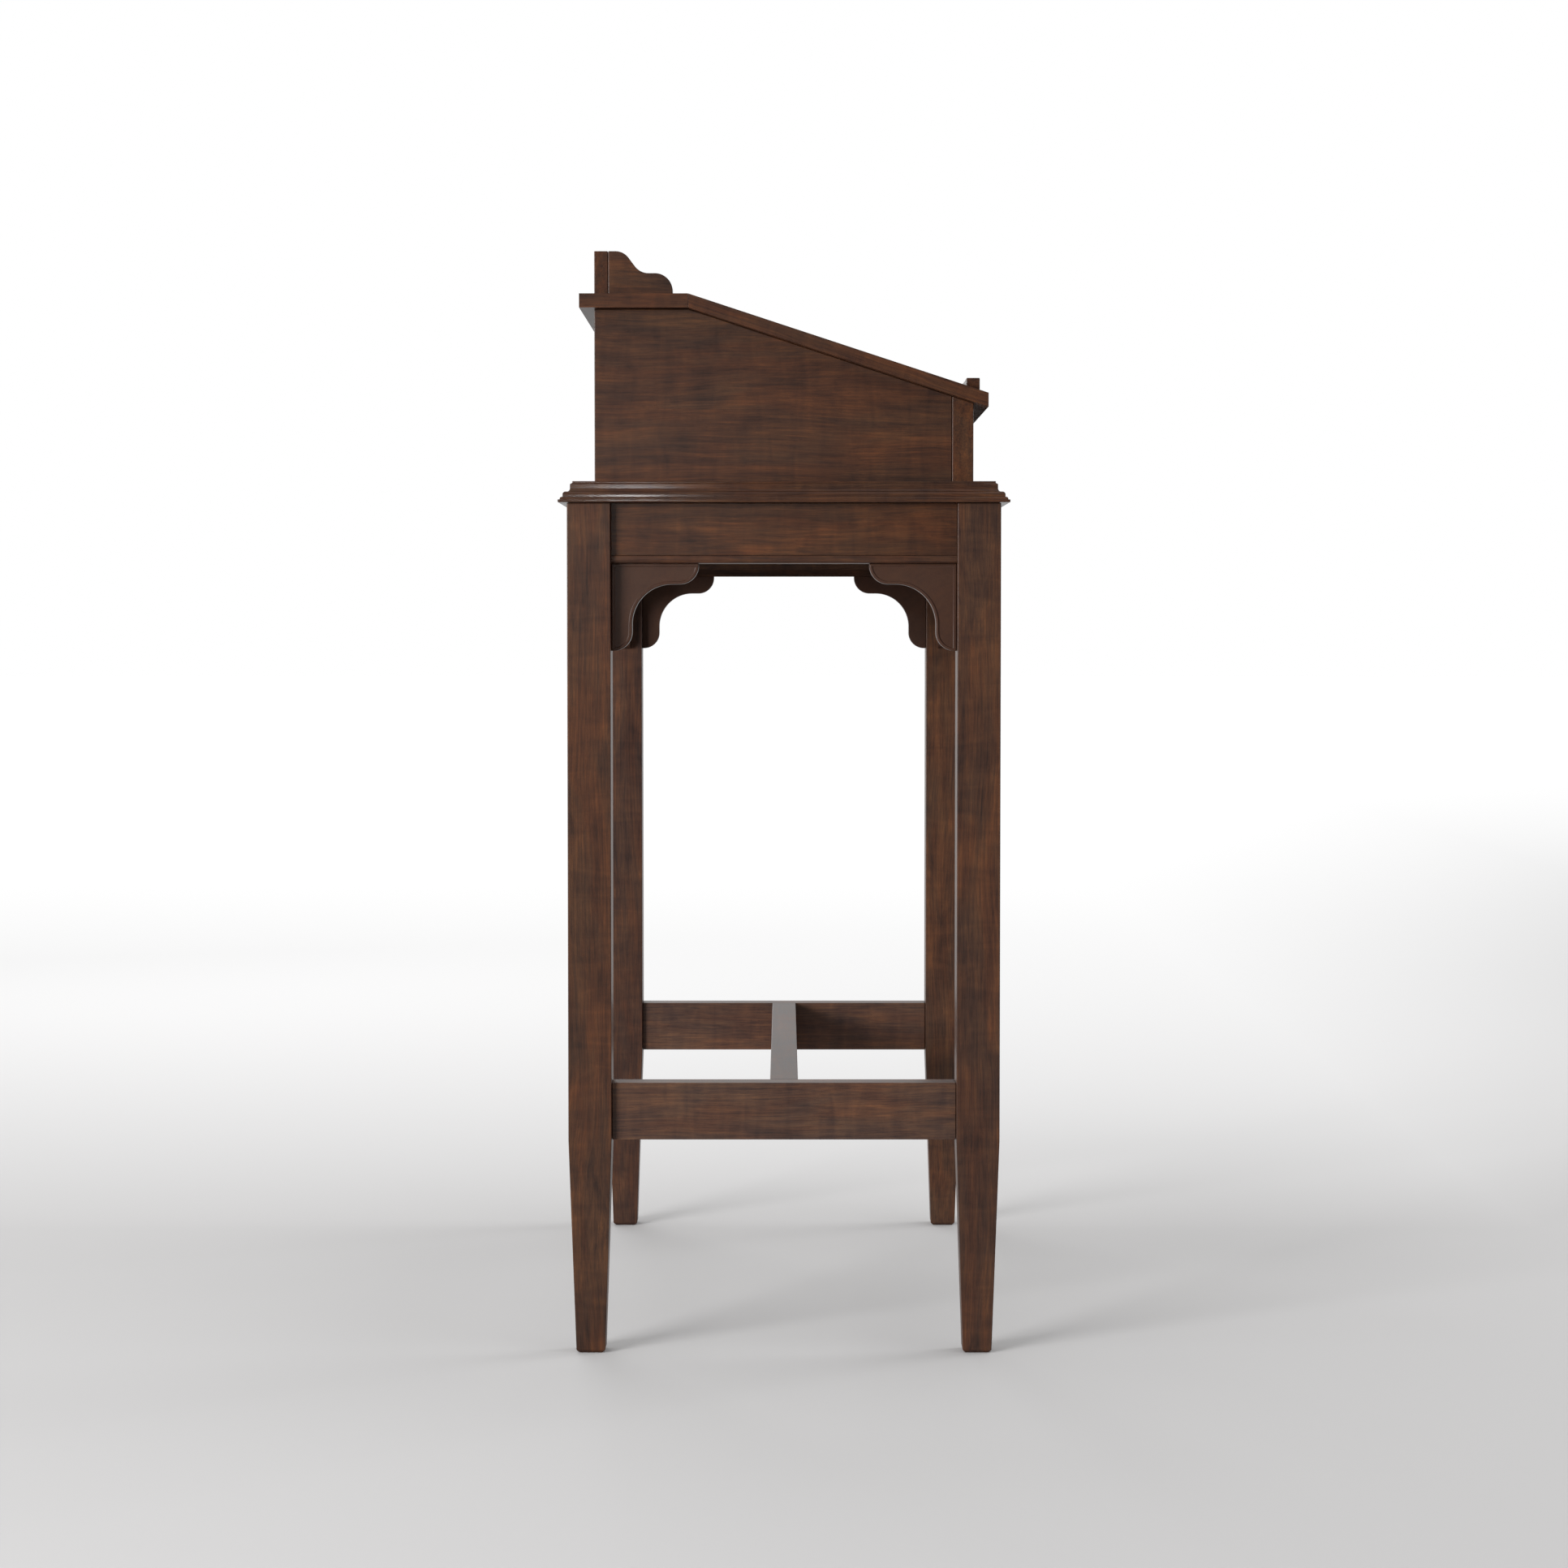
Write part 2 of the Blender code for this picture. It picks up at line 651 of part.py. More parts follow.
def along_x(mesh):
    """Turns a round piece that was made about Z so that it lies along X."""
    bmesh.ops.rotate(mesh, cent=(0, 0, 0), matrix=Matrix.Rotation(math.pi / 2, 3, "Y"), verts=mesh.verts)
    return mesh


def rod(name, radius, low, high, at, look=None):
    """A round bar along X, about the point `at`."""
    return mesh_object(name, along_x(turned_mesh([(radius, low), (radius, high)])), look, at)


def leaf_mesh(toothed):
    """A leaf that lies towards +Y, top at -HINGE_RISE; toothed on the outer knuckles or the middle one."""
    half = HINGE_LONG / 2
    middle = MIDDLE_KNUCKLE / 2
    clear = BARREL_RADIUS + FIT
    if toothed == "outer":
        notch = middle + GAP
        outline = [
            (-half, 0), (-notch, 0), (-notch, clear), (notch, clear), (notch, 0), (half, 0),
            (half, LEAF_WIDE), (-half, LEAF_WIDE),
        ]
    else:
        tooth = middle - GAP
        outline = [
            (-half, clear), (-tooth, clear), (-tooth, 0), (tooth, 0), (tooth, clear), (half, clear),
            (half, LEAF_WIDE), (-half, LEAF_WIDE),
        ]
    return prism_mesh(outline, "Z", -HINGE_RISE - LEAF_THICK, -HINGE_RISE)


def screw_profile(grow=0.0):
    """(radius, height) from the point up to the flat head, which lies flush with the leaf."""
    return [
        (SCREW_RADIUS * 0.4 + grow, -SCREW_LONG - grow),
        (SCREW_RADIUS + grow, -SCREW_LONG + 0.002),
        (SCREW_RADIUS + grow, -SCREW_HEAD - 0.0003),
        (SCREW_HEAD_RADIUS + grow, -0.0001),
        (SCREW_HEAD_RADIUS + grow, 0 if grow == 0 else OVERSHOOT),
    ]


def screws(hinge, leaf_name, turn, at, brass):
    """Two screws through a leaf, each with the hole it needs; `turn` brings +Y to the leaf's way."""
    made = []
    for number, x in enumerate((-SCREW_X, SCREW_X), 1):
        place = at + turn @ Vector((x, SCREW_Y, -HINGE_RISE))
        name = f"{hinge}_{leaf_name}_screw_{number}"
        screw = mesh_object(name, turned_mesh(screw_profile()), brass, place)
        hole = mesh_object(f"{name}_hole", turned_mesh(screw_profile(GAP)), None, place)
        for obj in (screw, hole):
            obj.rotation_euler = turn.to_euler()
        shade_round(screw)
        made.append((screw, hole))
    return made


def hinge(side, flat_board, lid_board, brass, axis):
    """A butt hinge: outer knuckles on the flat board's leaf, the middle knuckle on the lid's leaf."""
    name = f"hinge_{side}"
    at = Vector((SIDES[side] * HINGE_X, HINGE_AXIS.y, HINGE_AXIS.z))
    half = HINGE_LONG / 2
    middle = MIDDLE_KNUCKLE / 2
    bore = rod(f"{name}_bore", PIN_RADIUS + GAP, -half - OVERSHOOT, half + OVERSHOOT, at)
    head = half + GAP + PIN_HEAD
    trench = rod(f"{name}_trench", BARREL_RADIUS + FIT, -head - FIT, head + FIT, at)
    turned_round = Matrix.Rotation(LID_ANGLE, 3, "X") @ Matrix.Rotation(math.pi, 3, "Z")
    leaves = {
        "fixed": (flat_board, "outer", Matrix.Identity(3), None),
        "lid": (lid_board, "middle", turned_round, axis),
    }
    for kind, (board, toothed, turn, parent) in leaves.items():
        leaf = mesh_object(f"{name}_{kind}_leaf", leaf_mesh(toothed), brass, at)
        leaf.rotation_euler = turn.to_euler()
        if toothed == "outer":
            spans = [(-half, -middle - GAP), (middle + GAP, half)]
        else:
            spans = [(-middle + GAP, middle - GAP)]
        for number, (low, high) in enumerate(spans, 1):
            knuckle = rod(f"{name}_{kind}_knuckle_{number}", BARREL_RADIUS, low, high, at)
            boolean(leaf, knuckle, "UNION")
        boolean(leaf, bore)
        recess_size = (HINGE_LONG + 2 * GAP, LEAF_WIDE + GAP + OVERSHOOT, LEAF_THICK + GAP + OVERSHOOT)
        recess = mesh_object(f"{name}_{kind}_recess", box_mesh(recess_size), None)
        low = -HINGE_RISE - LEAF_THICK - GAP
        middle_of_box = Vector((0, LEAF_WIDE + GAP - recess_size[1] / 2, low + recess_size[2] / 2))
        recess.location = at + turn @ middle_of_box
        recess.rotation_euler = turn.to_euler()
        boolean(board, recess)
        boolean(board, trench)
        for screw, hole in screws(name, f"{kind}_leaf", turn, at, brass):
            boolean(leaf, hole)
            boolean(board, hole)
            if parent:
                hang_on(parent, screw)
        if parent:
            hang_on(parent, leaf)
    pin_profile = [
        (PIN_HEAD_RADIUS, -head),
        (PIN_HEAD_RADIUS, -half - GAP),
        (PIN_RADIUS, -half - GAP),
        (PIN_RADIUS, half + GAP),
        (PIN_HEAD_RADIUS, half + GAP),
        (PIN_HEAD_RADIUS, head),
    ]
    shade_round(mesh_object(f"{name}_pin", along_x(turned_mesh(pin_profile)), brass, at))


# ---------------------------------------------------------------- lid stays

def on_arc(radius, angle):
    """(y, z) about the hinge axis, at an angle below the level in front of it."""
    return (-radius * math.cos(angle), -radius * math.sin(angle))


def stay(side, brass, axis):
    """A flat band bent about the hinge axis, with a foot under the lid and a wider stop at its end."""
    under_lid = HINGE_RISE * math.cos(LID_ANGLE) + BOARD_THICK * math.cos(LID_ANGLE) + GAP
    foot_middle = under_lid + FOOT_THICK / 2
    start = LID_ANGLE + math.asin(foot_middle / STAY_RADIUS)
    stop_start = KEEPER_ANGLE + LID_OPENS + (KEEPER_HALF + FIT) / STAY_RADIUS
    steps = 24
    turns = [start + (stop_start - start) * i / steps for i in range(steps + 1)]
    wide = STAY_WIDE / 2
    stop = STOP_WIDE / 2
    end = stop_start + STOP_ARC
    outline = [on_arc(STAY_RADIUS + wide, turn) for turn in turns]
    outline += [on_arc(STAY_RADIUS + stop, stop_start), on_arc(STAY_RADIUS + stop, end)]
    outline += [on_arc(STAY_RADIUS - stop, end), on_arc(STAY_RADIUS - stop, stop_start)]
    outline += [on_arc(STAY_RADIUS - wide, turn) for turn in reversed(turns)]
    middle = SIDES[side] * STAY_X
    half = STAY_THICK / 2
    at = (middle, HINGE_AXIS.y, HINGE_AXIS.z)
    band = mesh_object(f"stay_{side}", prism_mesh(outline, "X", -half, half), brass, at)
    along = math.sqrt(STAY_RADIUS ** 2 - foot_middle ** 2)
    inboard = -SIDES[side] * (FOOT_WIDE - STAY_THICK) / 2
    foot = mesh_object(f"stay_{side}_foot", box_mesh((FOOT_WIDE, FOOT_LONG, FOOT_THICK)), None)
    turn = Matrix.Rotation(LID_ANGLE, 3, "X")
    foot.location = Vector(at) + turn @ Vector((inboard, -along, -foot_middle))
    foot.rotation_euler.x = LID_ANGLE
    boolean(band, foot, "UNION")
    hang_on(axis, band)


def keeper(side, brass):
    """A block on the case side with a slot that guides the stay's band."""
    sign = SIDES[side]
    y, z = on_arc(STAY_RADIUS, KEEPER_ANGLE)
    inner = STAY_X - STAY_THICK / 2 - FIT - 0.0020
    outer = CASE_X - SIDE_THICK - GAP
    at = Vector((sign * (inner + outer) / 2, HINGE_AXIS.y + y, HINGE_AXIS.z + z))
    size = (outer - inner, KEEPER_RADIAL, 2 * KEEPER_HALF)
    body = mesh_object(f"keeper_{side}", box_mesh(size), brass, at)
    slot_size = (STAY_THICK + 2 * FIT, STAY_WIDE + 3 * FIT, 2 * KEEPER_HALF + 2 * OVERSHOOT)
    slot = mesh_object(f"keeper_{side}_slot", box_mesh(slot_size), None, (sign * STAY_X, at.y, at.z))
    for obj in (body, slot):
        obj.rotation_euler.x = KEEPER_ANGLE
    boolean(body, slot)


# ---------------------------------------------------------------- the whole stand

def main():
    clear_scene()
    wood = material("stained_wood", (0.082, 0.038, 0.024), 0.42)
    bracket_wood = material("bracket_wood", (0.068, 0.038, 0.028), 0.5)
    brass = material("brass", (0.62, 0.44, 0.20), 0.32, 1.0)
    steel = material("steel", (0.56, 0.57, 0.58), 0.35, 1.0)

    table(wood, bracket_wood, steel)
    flat_board = case(wood)
    gallery(wood, flat_board)
    axis = bpy.data.objects.new("lid_axis", None)
    axis.location = HINGE_AXIS
    bpy.context.scene.collection.objects.link(axis)
    lid_board = lid(wood, axis)
    for side in SIDES:
        hinge(side, flat_board, lid_board, brass, axis)
        stay(side, brass, axis)
        keeper(side, brass)


main()
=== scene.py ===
"""The album stand's visible surfaces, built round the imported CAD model.

Metres, +Z up, in the CAD's own frame: X runs along the stand, its reader stands at -Y, and the lid turns
about the seam in front of the flat top board. Plain boards keep their CAD solids, with eased edges and
their own wood. Moulded, shaped and metal pieces are rebuilt finer, and replace their CAD nodes.
"""

import json
import math

import bmesh
import bpy
from mathutils import Matrix, Vector


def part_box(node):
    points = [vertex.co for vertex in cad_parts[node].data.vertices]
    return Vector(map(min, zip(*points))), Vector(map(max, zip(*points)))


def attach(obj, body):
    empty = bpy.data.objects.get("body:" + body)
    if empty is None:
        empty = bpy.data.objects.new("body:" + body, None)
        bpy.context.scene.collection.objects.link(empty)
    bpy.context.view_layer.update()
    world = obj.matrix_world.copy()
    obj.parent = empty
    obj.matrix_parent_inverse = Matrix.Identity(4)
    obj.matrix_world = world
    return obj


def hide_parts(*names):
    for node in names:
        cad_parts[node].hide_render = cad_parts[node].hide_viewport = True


SIDES = {"left": -1, "right": 1}
ENDS = {"front": -1, "back": 1}
OUTWARDS = {
    "left": Vector((-1, 0, 0)),
    "right": Vector((1, 0, 0)),
    "front": Vector((0, -1, 0)),
    "back": Vector((0, 1, 0)),
}
UP = Vector((0, 0, 1))
QUARTER = math.pi / 2
GAP = 0.0003  # what two touching CAD pieces keep between them
FIT = 0.0005  # clearance of a moving fit
ROUND_UNDER = 35  # degrees: edges under this are shaded round

# ---------------------------------------------------------------- the frame

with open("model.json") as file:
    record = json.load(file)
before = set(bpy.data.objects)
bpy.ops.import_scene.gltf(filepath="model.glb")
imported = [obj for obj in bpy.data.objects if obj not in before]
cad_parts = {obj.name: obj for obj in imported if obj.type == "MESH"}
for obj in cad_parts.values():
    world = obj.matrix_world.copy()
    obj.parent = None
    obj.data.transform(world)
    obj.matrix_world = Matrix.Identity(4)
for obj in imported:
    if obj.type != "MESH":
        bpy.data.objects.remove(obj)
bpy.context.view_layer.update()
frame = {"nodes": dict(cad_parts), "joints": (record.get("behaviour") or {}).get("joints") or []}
nodes = frame["nodes"]

HINGE = Vector(frame["joints"][0]["pos_m"])
LID_LOW, LID_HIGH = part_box("lid")
FLAT_LOW, FLAT_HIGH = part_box("case_top")
LID_THICK = FLAT_HIGH.z - FLAT_LOW.z
LID_FALL = (LID_HIGH.z - LID_LOW.z - LID_THICK) / (LID_HIGH.y - LID_LOW.y)
LID_ANGLE = math.atan(LID_FALL)
TILT = Matrix.Rotation(LID_ANGLE, 4, "X")


def middle(node):
    low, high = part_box(node)
    return (Vector(low) + Vector(high)) / 2


# ---------------------------------------------------------------- meshes

def link(obj):
    bpy.context.scene.collection.objects.link(obj)
    return obj


def mesh_object(name, bm, smooth=ROUND_UNDER):
    """A bmesh as a linked object whose edges under `smooth` degrees are shaded round."""
    bmesh.ops.remove_doubles(bm, verts=bm.verts, dist=1e-7)
    bmesh.ops.recalc_face_normals(bm, faces=bm.faces)
    mesh = bpy.data.meshes.new(name)
    bm.to_mesh(mesh)
    bm.free()
    mesh.shade_smooth()
    mesh.set_sharp_from_angle(angle=math.radians(smooth))
    return link(bpy.data.objects.new(name, mesh))


def loft(rings):
    """Closed rings of equally many points, skinned in order, with both ends capped."""
    bm = bmesh.new()
    loops = [[bm.verts.new(point) for point in ring] for ring in rings]
    count = len(loops[0])
    for lower, upper in zip(loops, loops[1:]):
        for i in range(count):
            j = (i + 1) % count
            bm.faces.new((lower[i], lower[j], upper[j], upper[i]))
    bm.faces.new(loops[0])
    bm.faces.new(loops[-1])
    return bm


def prism(outline, along, low, high):
    """An outline in the two other axes, drawn out along one axis."""
    rings = []
    for level in (low, high):
        ring = []
        for first, second in outline:
            point = [first, second]
            point.insert("XYZ".index(along), level)
            ring.append(point)
        rings.append(ring)
    return loft(rings)


def box(size, centre=(0, 0, 0)):
    bm = bmesh.new()
    bmesh.ops.create_cube(bm, size=1)
    bmesh.ops.scale(bm, vec=size, verts=bm.verts)
    bmesh.ops.translate(bm, vec=centre, verts=bm.verts)
    return bm


def arc(centre, radius, start, stop, steps):
    turns = [start + (stop - start) * i / steps for i in range(steps + 1)]
    return [(centre[0] + radius * math.cos(t), centre[1] + radius * math.sin(t)) for t in turns]


def turned(profile, sides=40):
    """A round piece about Z from (radius, height) points, with flat ends."""
    rings = []
    for radius, z in profile:
        rings.append([(*point, z) for point in arc((0, 0), radius, 0, 2 * math.pi, sides)[:-1]])
    return loft(rings)


def moved(bm, matrix):
    bmesh.ops.transform(bm, matrix=matrix, verts=bm.verts)
    return bm


def standing(at, away):
    """The matrix that puts a piece made about Z at a point, with its +Z end facing `away`."""
    return Matrix.Translation(at) @ Vector(away).to_track_quat("Z", "Y").to_matrix().to_4x4()


def eased(obj, width, segments=3, angle=30):
    """Rounds an object's arrises, as sandpaper leaves them."""
    bevel = obj.modifiers.new("eased edges", "BEVEL")
    bevel.width = width
    bevel.segments = segments
    bevel.limit_method = "ANGLE"
    bevel.angle_limit = math.radians(angle)
    bevel.harden_normals = True
    return obj


def true_flats(obj):
    """Lets large flat faces keep their own normals, so that only their roundings shade round."""
    weighted = obj.modifiers.new("true flats", "WEIGHTED_NORMAL")
    weighted.keep_sharp = True
    return obj


def combine(obj, other, operation):
    """Joins the other mesh to the object's or cuts it away, and drops it."""
    modifier = obj.modifiers.new(other.name, "BOOLEAN")
    modifier.object = other
    modifier.operation = operation
    modifier.solver = "EXACT"
    bpy.context.view_layer.update()
    graph = bpy.context.evaluated_depsgraph_get()
    mesh = bpy.data.meshes.new_from_object(obj.evaluated_get(graph))
    obj.modifiers.remove(modifier)
    obj.data = mesh
    bpy.data.objects.remove(other)
    mesh.shade_smooth()
    mesh.set_sharp_from_angle(angle=math.radians(ROUND_UNDER))


# ---------------------------------------------------------------- materials

class Graph:
    """Short spellings for building a shader's nodes."""

    def __init__(self, tree):
        self.tree = tree

    def node(self, kind, **settings):
        made = self.tree.nodes.new(kind)
        for key, value in settings.items():
            setattr(made, key, value)
        return made

    def put(self, value, socket):
        if isinstance(value, bpy.types.NodeSocket):
            self.tree.links.new(value, socket)
        else:
            socket.default_value = value

    def math(self, operation, first, second=0.0):
        made = self.node("ShaderNodeMath", operation=operation)
        self.put(first, made.inputs[0])
        self.put(second, made.inputs[1])
        return made.outputs[0]

    def vector(self, operation, first, second=(0, 0, 0)):
        made = self.node("ShaderNodeVectorMath", operation=operation)
        self.put(first, made.inputs[0])
        self.put(second, made.inputs[1])
        return made.outputs[1 if operation == "LENGTH" else 0]

    def noise(self, vector, detail=2.0, roughness=0.5, distortion=0.0):
        made = self.node("ShaderNodeTexNoise")
        self.put(vector, made.inputs["Vector"])
        self.put(1.0, made.inputs["Scale"])
        self.put(detail, made.inputs["Detail"])
        self.put(roughness, made.inputs["Roughness"])
        self.put(distortion, made.inputs["Distortion"])
        return made.outputs["Fac"]

    def stretch(self, value, low, high, to_low=0.0, to_high=1.0):
        """Maps low..high to to_low..to_high, and holds it there beyond."""
        made = self.node("ShaderNodeMapRange", interpolation_type="SMOOTHSTEP")
        for number, item in enumerate((value, low, high, to_low, to_high)):
            self.put(item, made.inputs[number])
        return made.outputs[0]

    def ramp(self, value, stops):
        made = self.node("ShaderNodeValToRGB")
        elements = made.color_ramp.elements
        while len(elements) < len(stops):
            elements.new(0.5)
        for element, (place, colour) in zip(elements, stops):
            element.position = place
            element.color = (*colour, 1)
        self.put(value, made.inputs[0])
        return made.outputs[0]

    def blend(self, mode, share, first, second):
        made = self.node("ShaderNodeMix", data_type="RGBA", blend_type=mode)
        self.put(share, made.inputs[0])
        self.put(first, made.inputs[6])
        self.put(second, made.inputs[7])
        return made.outputs[2]

    def bump(self, height, strength, distance):
        made = self.node("ShaderNodeBump")
        made.inputs["Strength"].default_value = strength
        made.inputs["Distance"].default_value = distance
        self.put(height, made.inputs["Height"])
        return made.outputs[0]


def srgb(*levels):
    """A colour given in 0..255 display levels, as linear light."""
    out = []
    for level in levels:
        share = level / 255
        out.append(share / 12.92 if share <= 0.04045 else ((share + 0.055) / 1.055) ** 2.4)
    return tuple(out)


WOOD_DARK = srgb(35, 22, 17)
WOOD_LOW = srgb(50, 31, 22)
WOOD_HIGH = srgb(61, 38, 25)
WOOD_LIGHT = srgb(78, 48, 29)
RED_CAST = (1.08, 0.98, 0.92)
GREY_CAST = (0.93, 1.01, 1.08)

# How fine each part of the figure is: cycles per metre along the fibres, then twice across them.
DRIFT = (2.4, 7.0, 7.0)
BLOTCH = (11.0, 30.0, 30.0)
CURL = (60.0, 14.0, 14.0)
STREAK = (7.0, 150.0, 150.0)
FIBRE = (18.0, 520.0, 520.0)
PORES = (110.0, 2100.0, 2100.0)
CAST = (7.0, 34.0, 34.0)
KNOTS = (17.0, 30.0, 30.0)
LAYERS_ALONG = 1.3
LAYERS_ACROSS = 170.0
WANDER = 0.034  # how far the fibres wander sideways, in metres
PORE_TINT = (0.42, 0.36, 0.34)
KNOT_TINT = (0.30, 0.25, 0.26)


def wood_group():
    """Stained wood in grain space, where X runs along the fibres: colour, gloss and fine relief."""
    tree = bpy.data.node_groups.new("stained wood", "ShaderNodeTree")
    sockets = tree.interface
    sockets.new_socket("Vector", in_out="INPUT", socket_type="NodeSocketVector")
    sockets.new_socket("Contrast", in_out="INPUT", socket_type="NodeSocketFloat")
    sockets.new_socket("Color", in_out="OUTPUT", socket_type="NodeSocketColor")
    sockets.new_socket("Roughness", in_out="OUTPUT", socket_type="NodeSocketFloat")
    sockets.new_socket("Height", in_out="OUTPUT", socket_type="NodeSocketFloat")
    g = Graph(tree)
    given = g.node("NodeGroupInput")
    out = g.node("NodeGroupOutput")
    place = given.outputs["Vector"]

    # The fibres wander a little, so the growth layers do too.
    drift = g.node("ShaderNodeTexNoise")
    g.put(g.vector("MULTIPLY", place, DRIFT), drift.inputs["Vector"])
    g.put(1.0, drift.inputs["Scale"])
    g.put(3.0, drift.inputs["Detail"])
    drift = g.vector("SUBTRACT", drift.outputs["Color"], (0.5, 0.5, 0.5))
    bent = g.vector("ADD", place, g.vector("MULTIPLY", drift, (0.0, WANDER, WANDER)))
    from_heart = g.vector("LENGTH", g.vector("MULTIPLY", bent, (0.0, 1.0, 1.0)))
    split = g.node("ShaderNodeSeparateXYZ")
    g.put(bent, split.inputs[0])
    layer = g.node("ShaderNodeCombineXYZ")
    g.put(g.math("MULTIPLY", split.outputs[0], LAYERS_ALONG), layer.inputs[0])
    g.put(g.math("MULTIPLY", from_heart, LAYERS_ACROSS), layer.inputs[1])
    layers = g.noise(layer.outputs[0], 4.0, 0.62)

    # Stain takes unevenly: broad blotches, a curl across the grain, fibres and open pores.
    blotch = g.noise(g.vector("MULTIPLY", bent, BLOTCH), 4.0, 0.62, 0.8)
    curl = g.noise(g.vector("MULTIPLY", bent, CURL), 2.0, 0.5, 1.0)
    streak = g.noise(g.vector("MULTIPLY", bent, STREAK), 3.0, 0.6)
    fibre = g.noise(g.vector("MULTIPLY", bent, FIBRE), 3.0, 0.65)
    pores = g.noise(g.vector("MULTIPLY", bent, PORES), 1.0)
    pores = g.stretch(pores, 0.60, 0.72)

    # The shares add up to 1, so the tone stays about 0.5 whatever the contrast.
    tone = 0.0
    for part, share in ((layers, 0.19), (blotch, 0.28), (curl, 0.13), (streak, 0.12), (fibre, 0.28)):
        tone = g.math("ADD", tone, g.math("MULTIPLY", part, share))
    tone = g.math("MULTIPLY", g.math("SUBTRACT", tone, 0.5), given.outputs["Contrast"])
    tone = g.math("ADD", tone, 0.5)
    colour = g.ramp(tone, (
        (0.30, WOOD_DARK),
        (0.44, WOOD_LOW),
        (0.56, WOOD_HIGH),
        (0.72, WOOD_LIGHT),
    ))
    cast = g.noise(g.vector("MULTIPLY", bent, CAST), 3.0, 0.6, 0.5)
    cast = g.math("MULTIPLY", g.math("SUBTRACT", cast, 0.5), given.outputs["Contrast"])
    cast = g.ramp(g.math("ADD", cast, 0.5), ((0.30, GREY_CAST), (0.50, (1, 1, 1)), (0.70, RED_CAST)))
    colour = g.blend("MULTIPLY", 1.0, colour, cast)
    colour = g.blend("MULTIPLY", g.math("MULTIPLY", pores, 0.40), colour, (*PORE_TINT, 1))

    # Small knots: a dark eye with a soft halo, in a few cells only.
    cells = g.node("ShaderNodeTexVoronoi", feature="F1")
    g.put(g.vector("MULTIPLY", bent, KNOTS), cells.inputs["Vector"])
    g.put(1.0, cells.inputs["Scale"])
    chance = g.node("ShaderNodeSeparateXYZ")
    g.put(cells.outputs["Color"], chance.inputs[0])
    rare = g.stretch(chance.outputs[0], 0.90, 0.95)
    halo = g.math("MULTIPLY", g.stretch(cells.outputs["Distance"], 0.30, 0.06), 0.45)
    eye = g.math("MULTIPLY", g.stretch(cells.outputs["Distance"], 0.09, 0.05), 0.45)
    knot = g.math("MULTIPLY", rare, g.math("ADD", halo, eye))
    colour = g.blend("MULTIPLY", knot, colour, (*KNOT_TINT, 1))

    gloss = g.math("ADD", 0.42, g.math("MULTIPLY", fibre, 0.10))
    gloss = g.math("ADD", gloss, g.math("MULTIPLY", blotch, 0.08))
    height = g.math("SUBTRACT", g.math("MULTIPLY", fibre, 0.6), g.math("MULTIPLY", pores, 0.7))
    height = g.math("ADD", height, g.math("MULTIPLY", curl, 0.6))
    g.put(colour, out.inputs["Color"])
    g.put(gloss, out.inputs["Roughness"])
    g.put(height, out.inputs["Height"])
    return tree


GRAIN_TURN = {  # Euler angles that bring the named axis to X
    "X": (0, 0, 0),
    "Y": (0, 0, -QUARTER),
    "Z": (0, QUARTER, 0),
}
SATIN_COAT = 0.28  # roughness of the finish on the flat boards
POLISHED_COAT = 0.10  # and on the moulding, which catches a sharper light
FIGURE_APART = 3.7  # metres of figure between one board and the next, so that none repeats
grain_seed = 0


def wood(name, along, centre, heart=(0.015, 0.070), tint=(1, 1, 1), contrast=1.9, lean=0.0, ends=None,
         coat_roughness=SATIN_COAT):
    """One board's own wood: its grain runs along an axis, about a heart off to the side of its centre.

    A board along X can `lean` about X, and can have `ends` whose grain runs across: (limit, mitre) puts
    them where |x| - mitre * |y| is over the limit.
    """
    global grain_seed
    grain_seed += 1
    material = bpy.data.materials.new(f"wood {name}")
    material.use_nodes = True
    g = Graph(material.node_tree)
    shader = material.node_tree.nodes["Principled BSDF"]
    from_centre = g.vector("SUBTRACT", g.node("ShaderNodeTexCoord").outputs["Object"], centre)
    turn = g.node("ShaderNodeMapping")
    g.put(from_centre, turn.inputs["Vector"])
    turn.inputs["Rotation"].default_value = GRAIN_TURN[along] if not lean else (-lean, 0, 0)
    place = turn.outputs[0]
    if ends:
        limit, mitre = ends
        split = g.node("ShaderNodeSeparateXYZ")
        g.put(place, split.inputs[0])
        x = g.math("ABSOLUTE", split.outputs[0])
        y = g.math("ABSOLUTE", split.outputs[1])
        crossed = g.node("ShaderNodeCombineXYZ")
        g.put(split.outputs[1], crossed.inputs[0])
        g.put(g.math("SUBTRACT", x, limit), crossed.inputs[1])
        g.put(split.outputs[2], crossed.inputs[2])
        beyond = g.math("GREATER_THAN", g.math("SUBTRACT", x, g.math("MULTIPLY", y, mitre)), limit)
        place = g.blend("MIX", beyond, place, crossed.outputs[0])
    place = g.vector("ADD", place, (FIGURE_APART * grain_seed, *heart))
    figure = g.node("ShaderNodeGroup", node_tree=WOOD)
    g.put(place, figure.inputs["Vector"])
    figure.inputs["Contrast"].default_value = contrast
    g.put(g.blend("MULTIPLY", 1.0, figure.outputs["Color"], (*tint, 1)), shader.inputs["Base Color"])
    g.put(figure.outputs["Roughness"], shader.inputs["Roughness"])
    g.put(g.bump(figure.outputs["Height"], 0.35, 0.00012), shader.inputs["Normal"])
    shader.inputs["Specular IOR Level"].default_value = 0.06
    shader.inputs["Coat Weight"].default_value = 0.32
    shader.inputs["Coat Roughness"].default_value = coat_roughness
    shader.inputs["Coat IOR"].default_value = 1.45
    return material


RUBS = (90.0, 1600.0, 1600.0)  # cycles per metre, as above
STAINS = (120.0, 120.0, 120.0)
TARNISH = 0.62  # a tarnished spot's colour as a share of the bright metal's


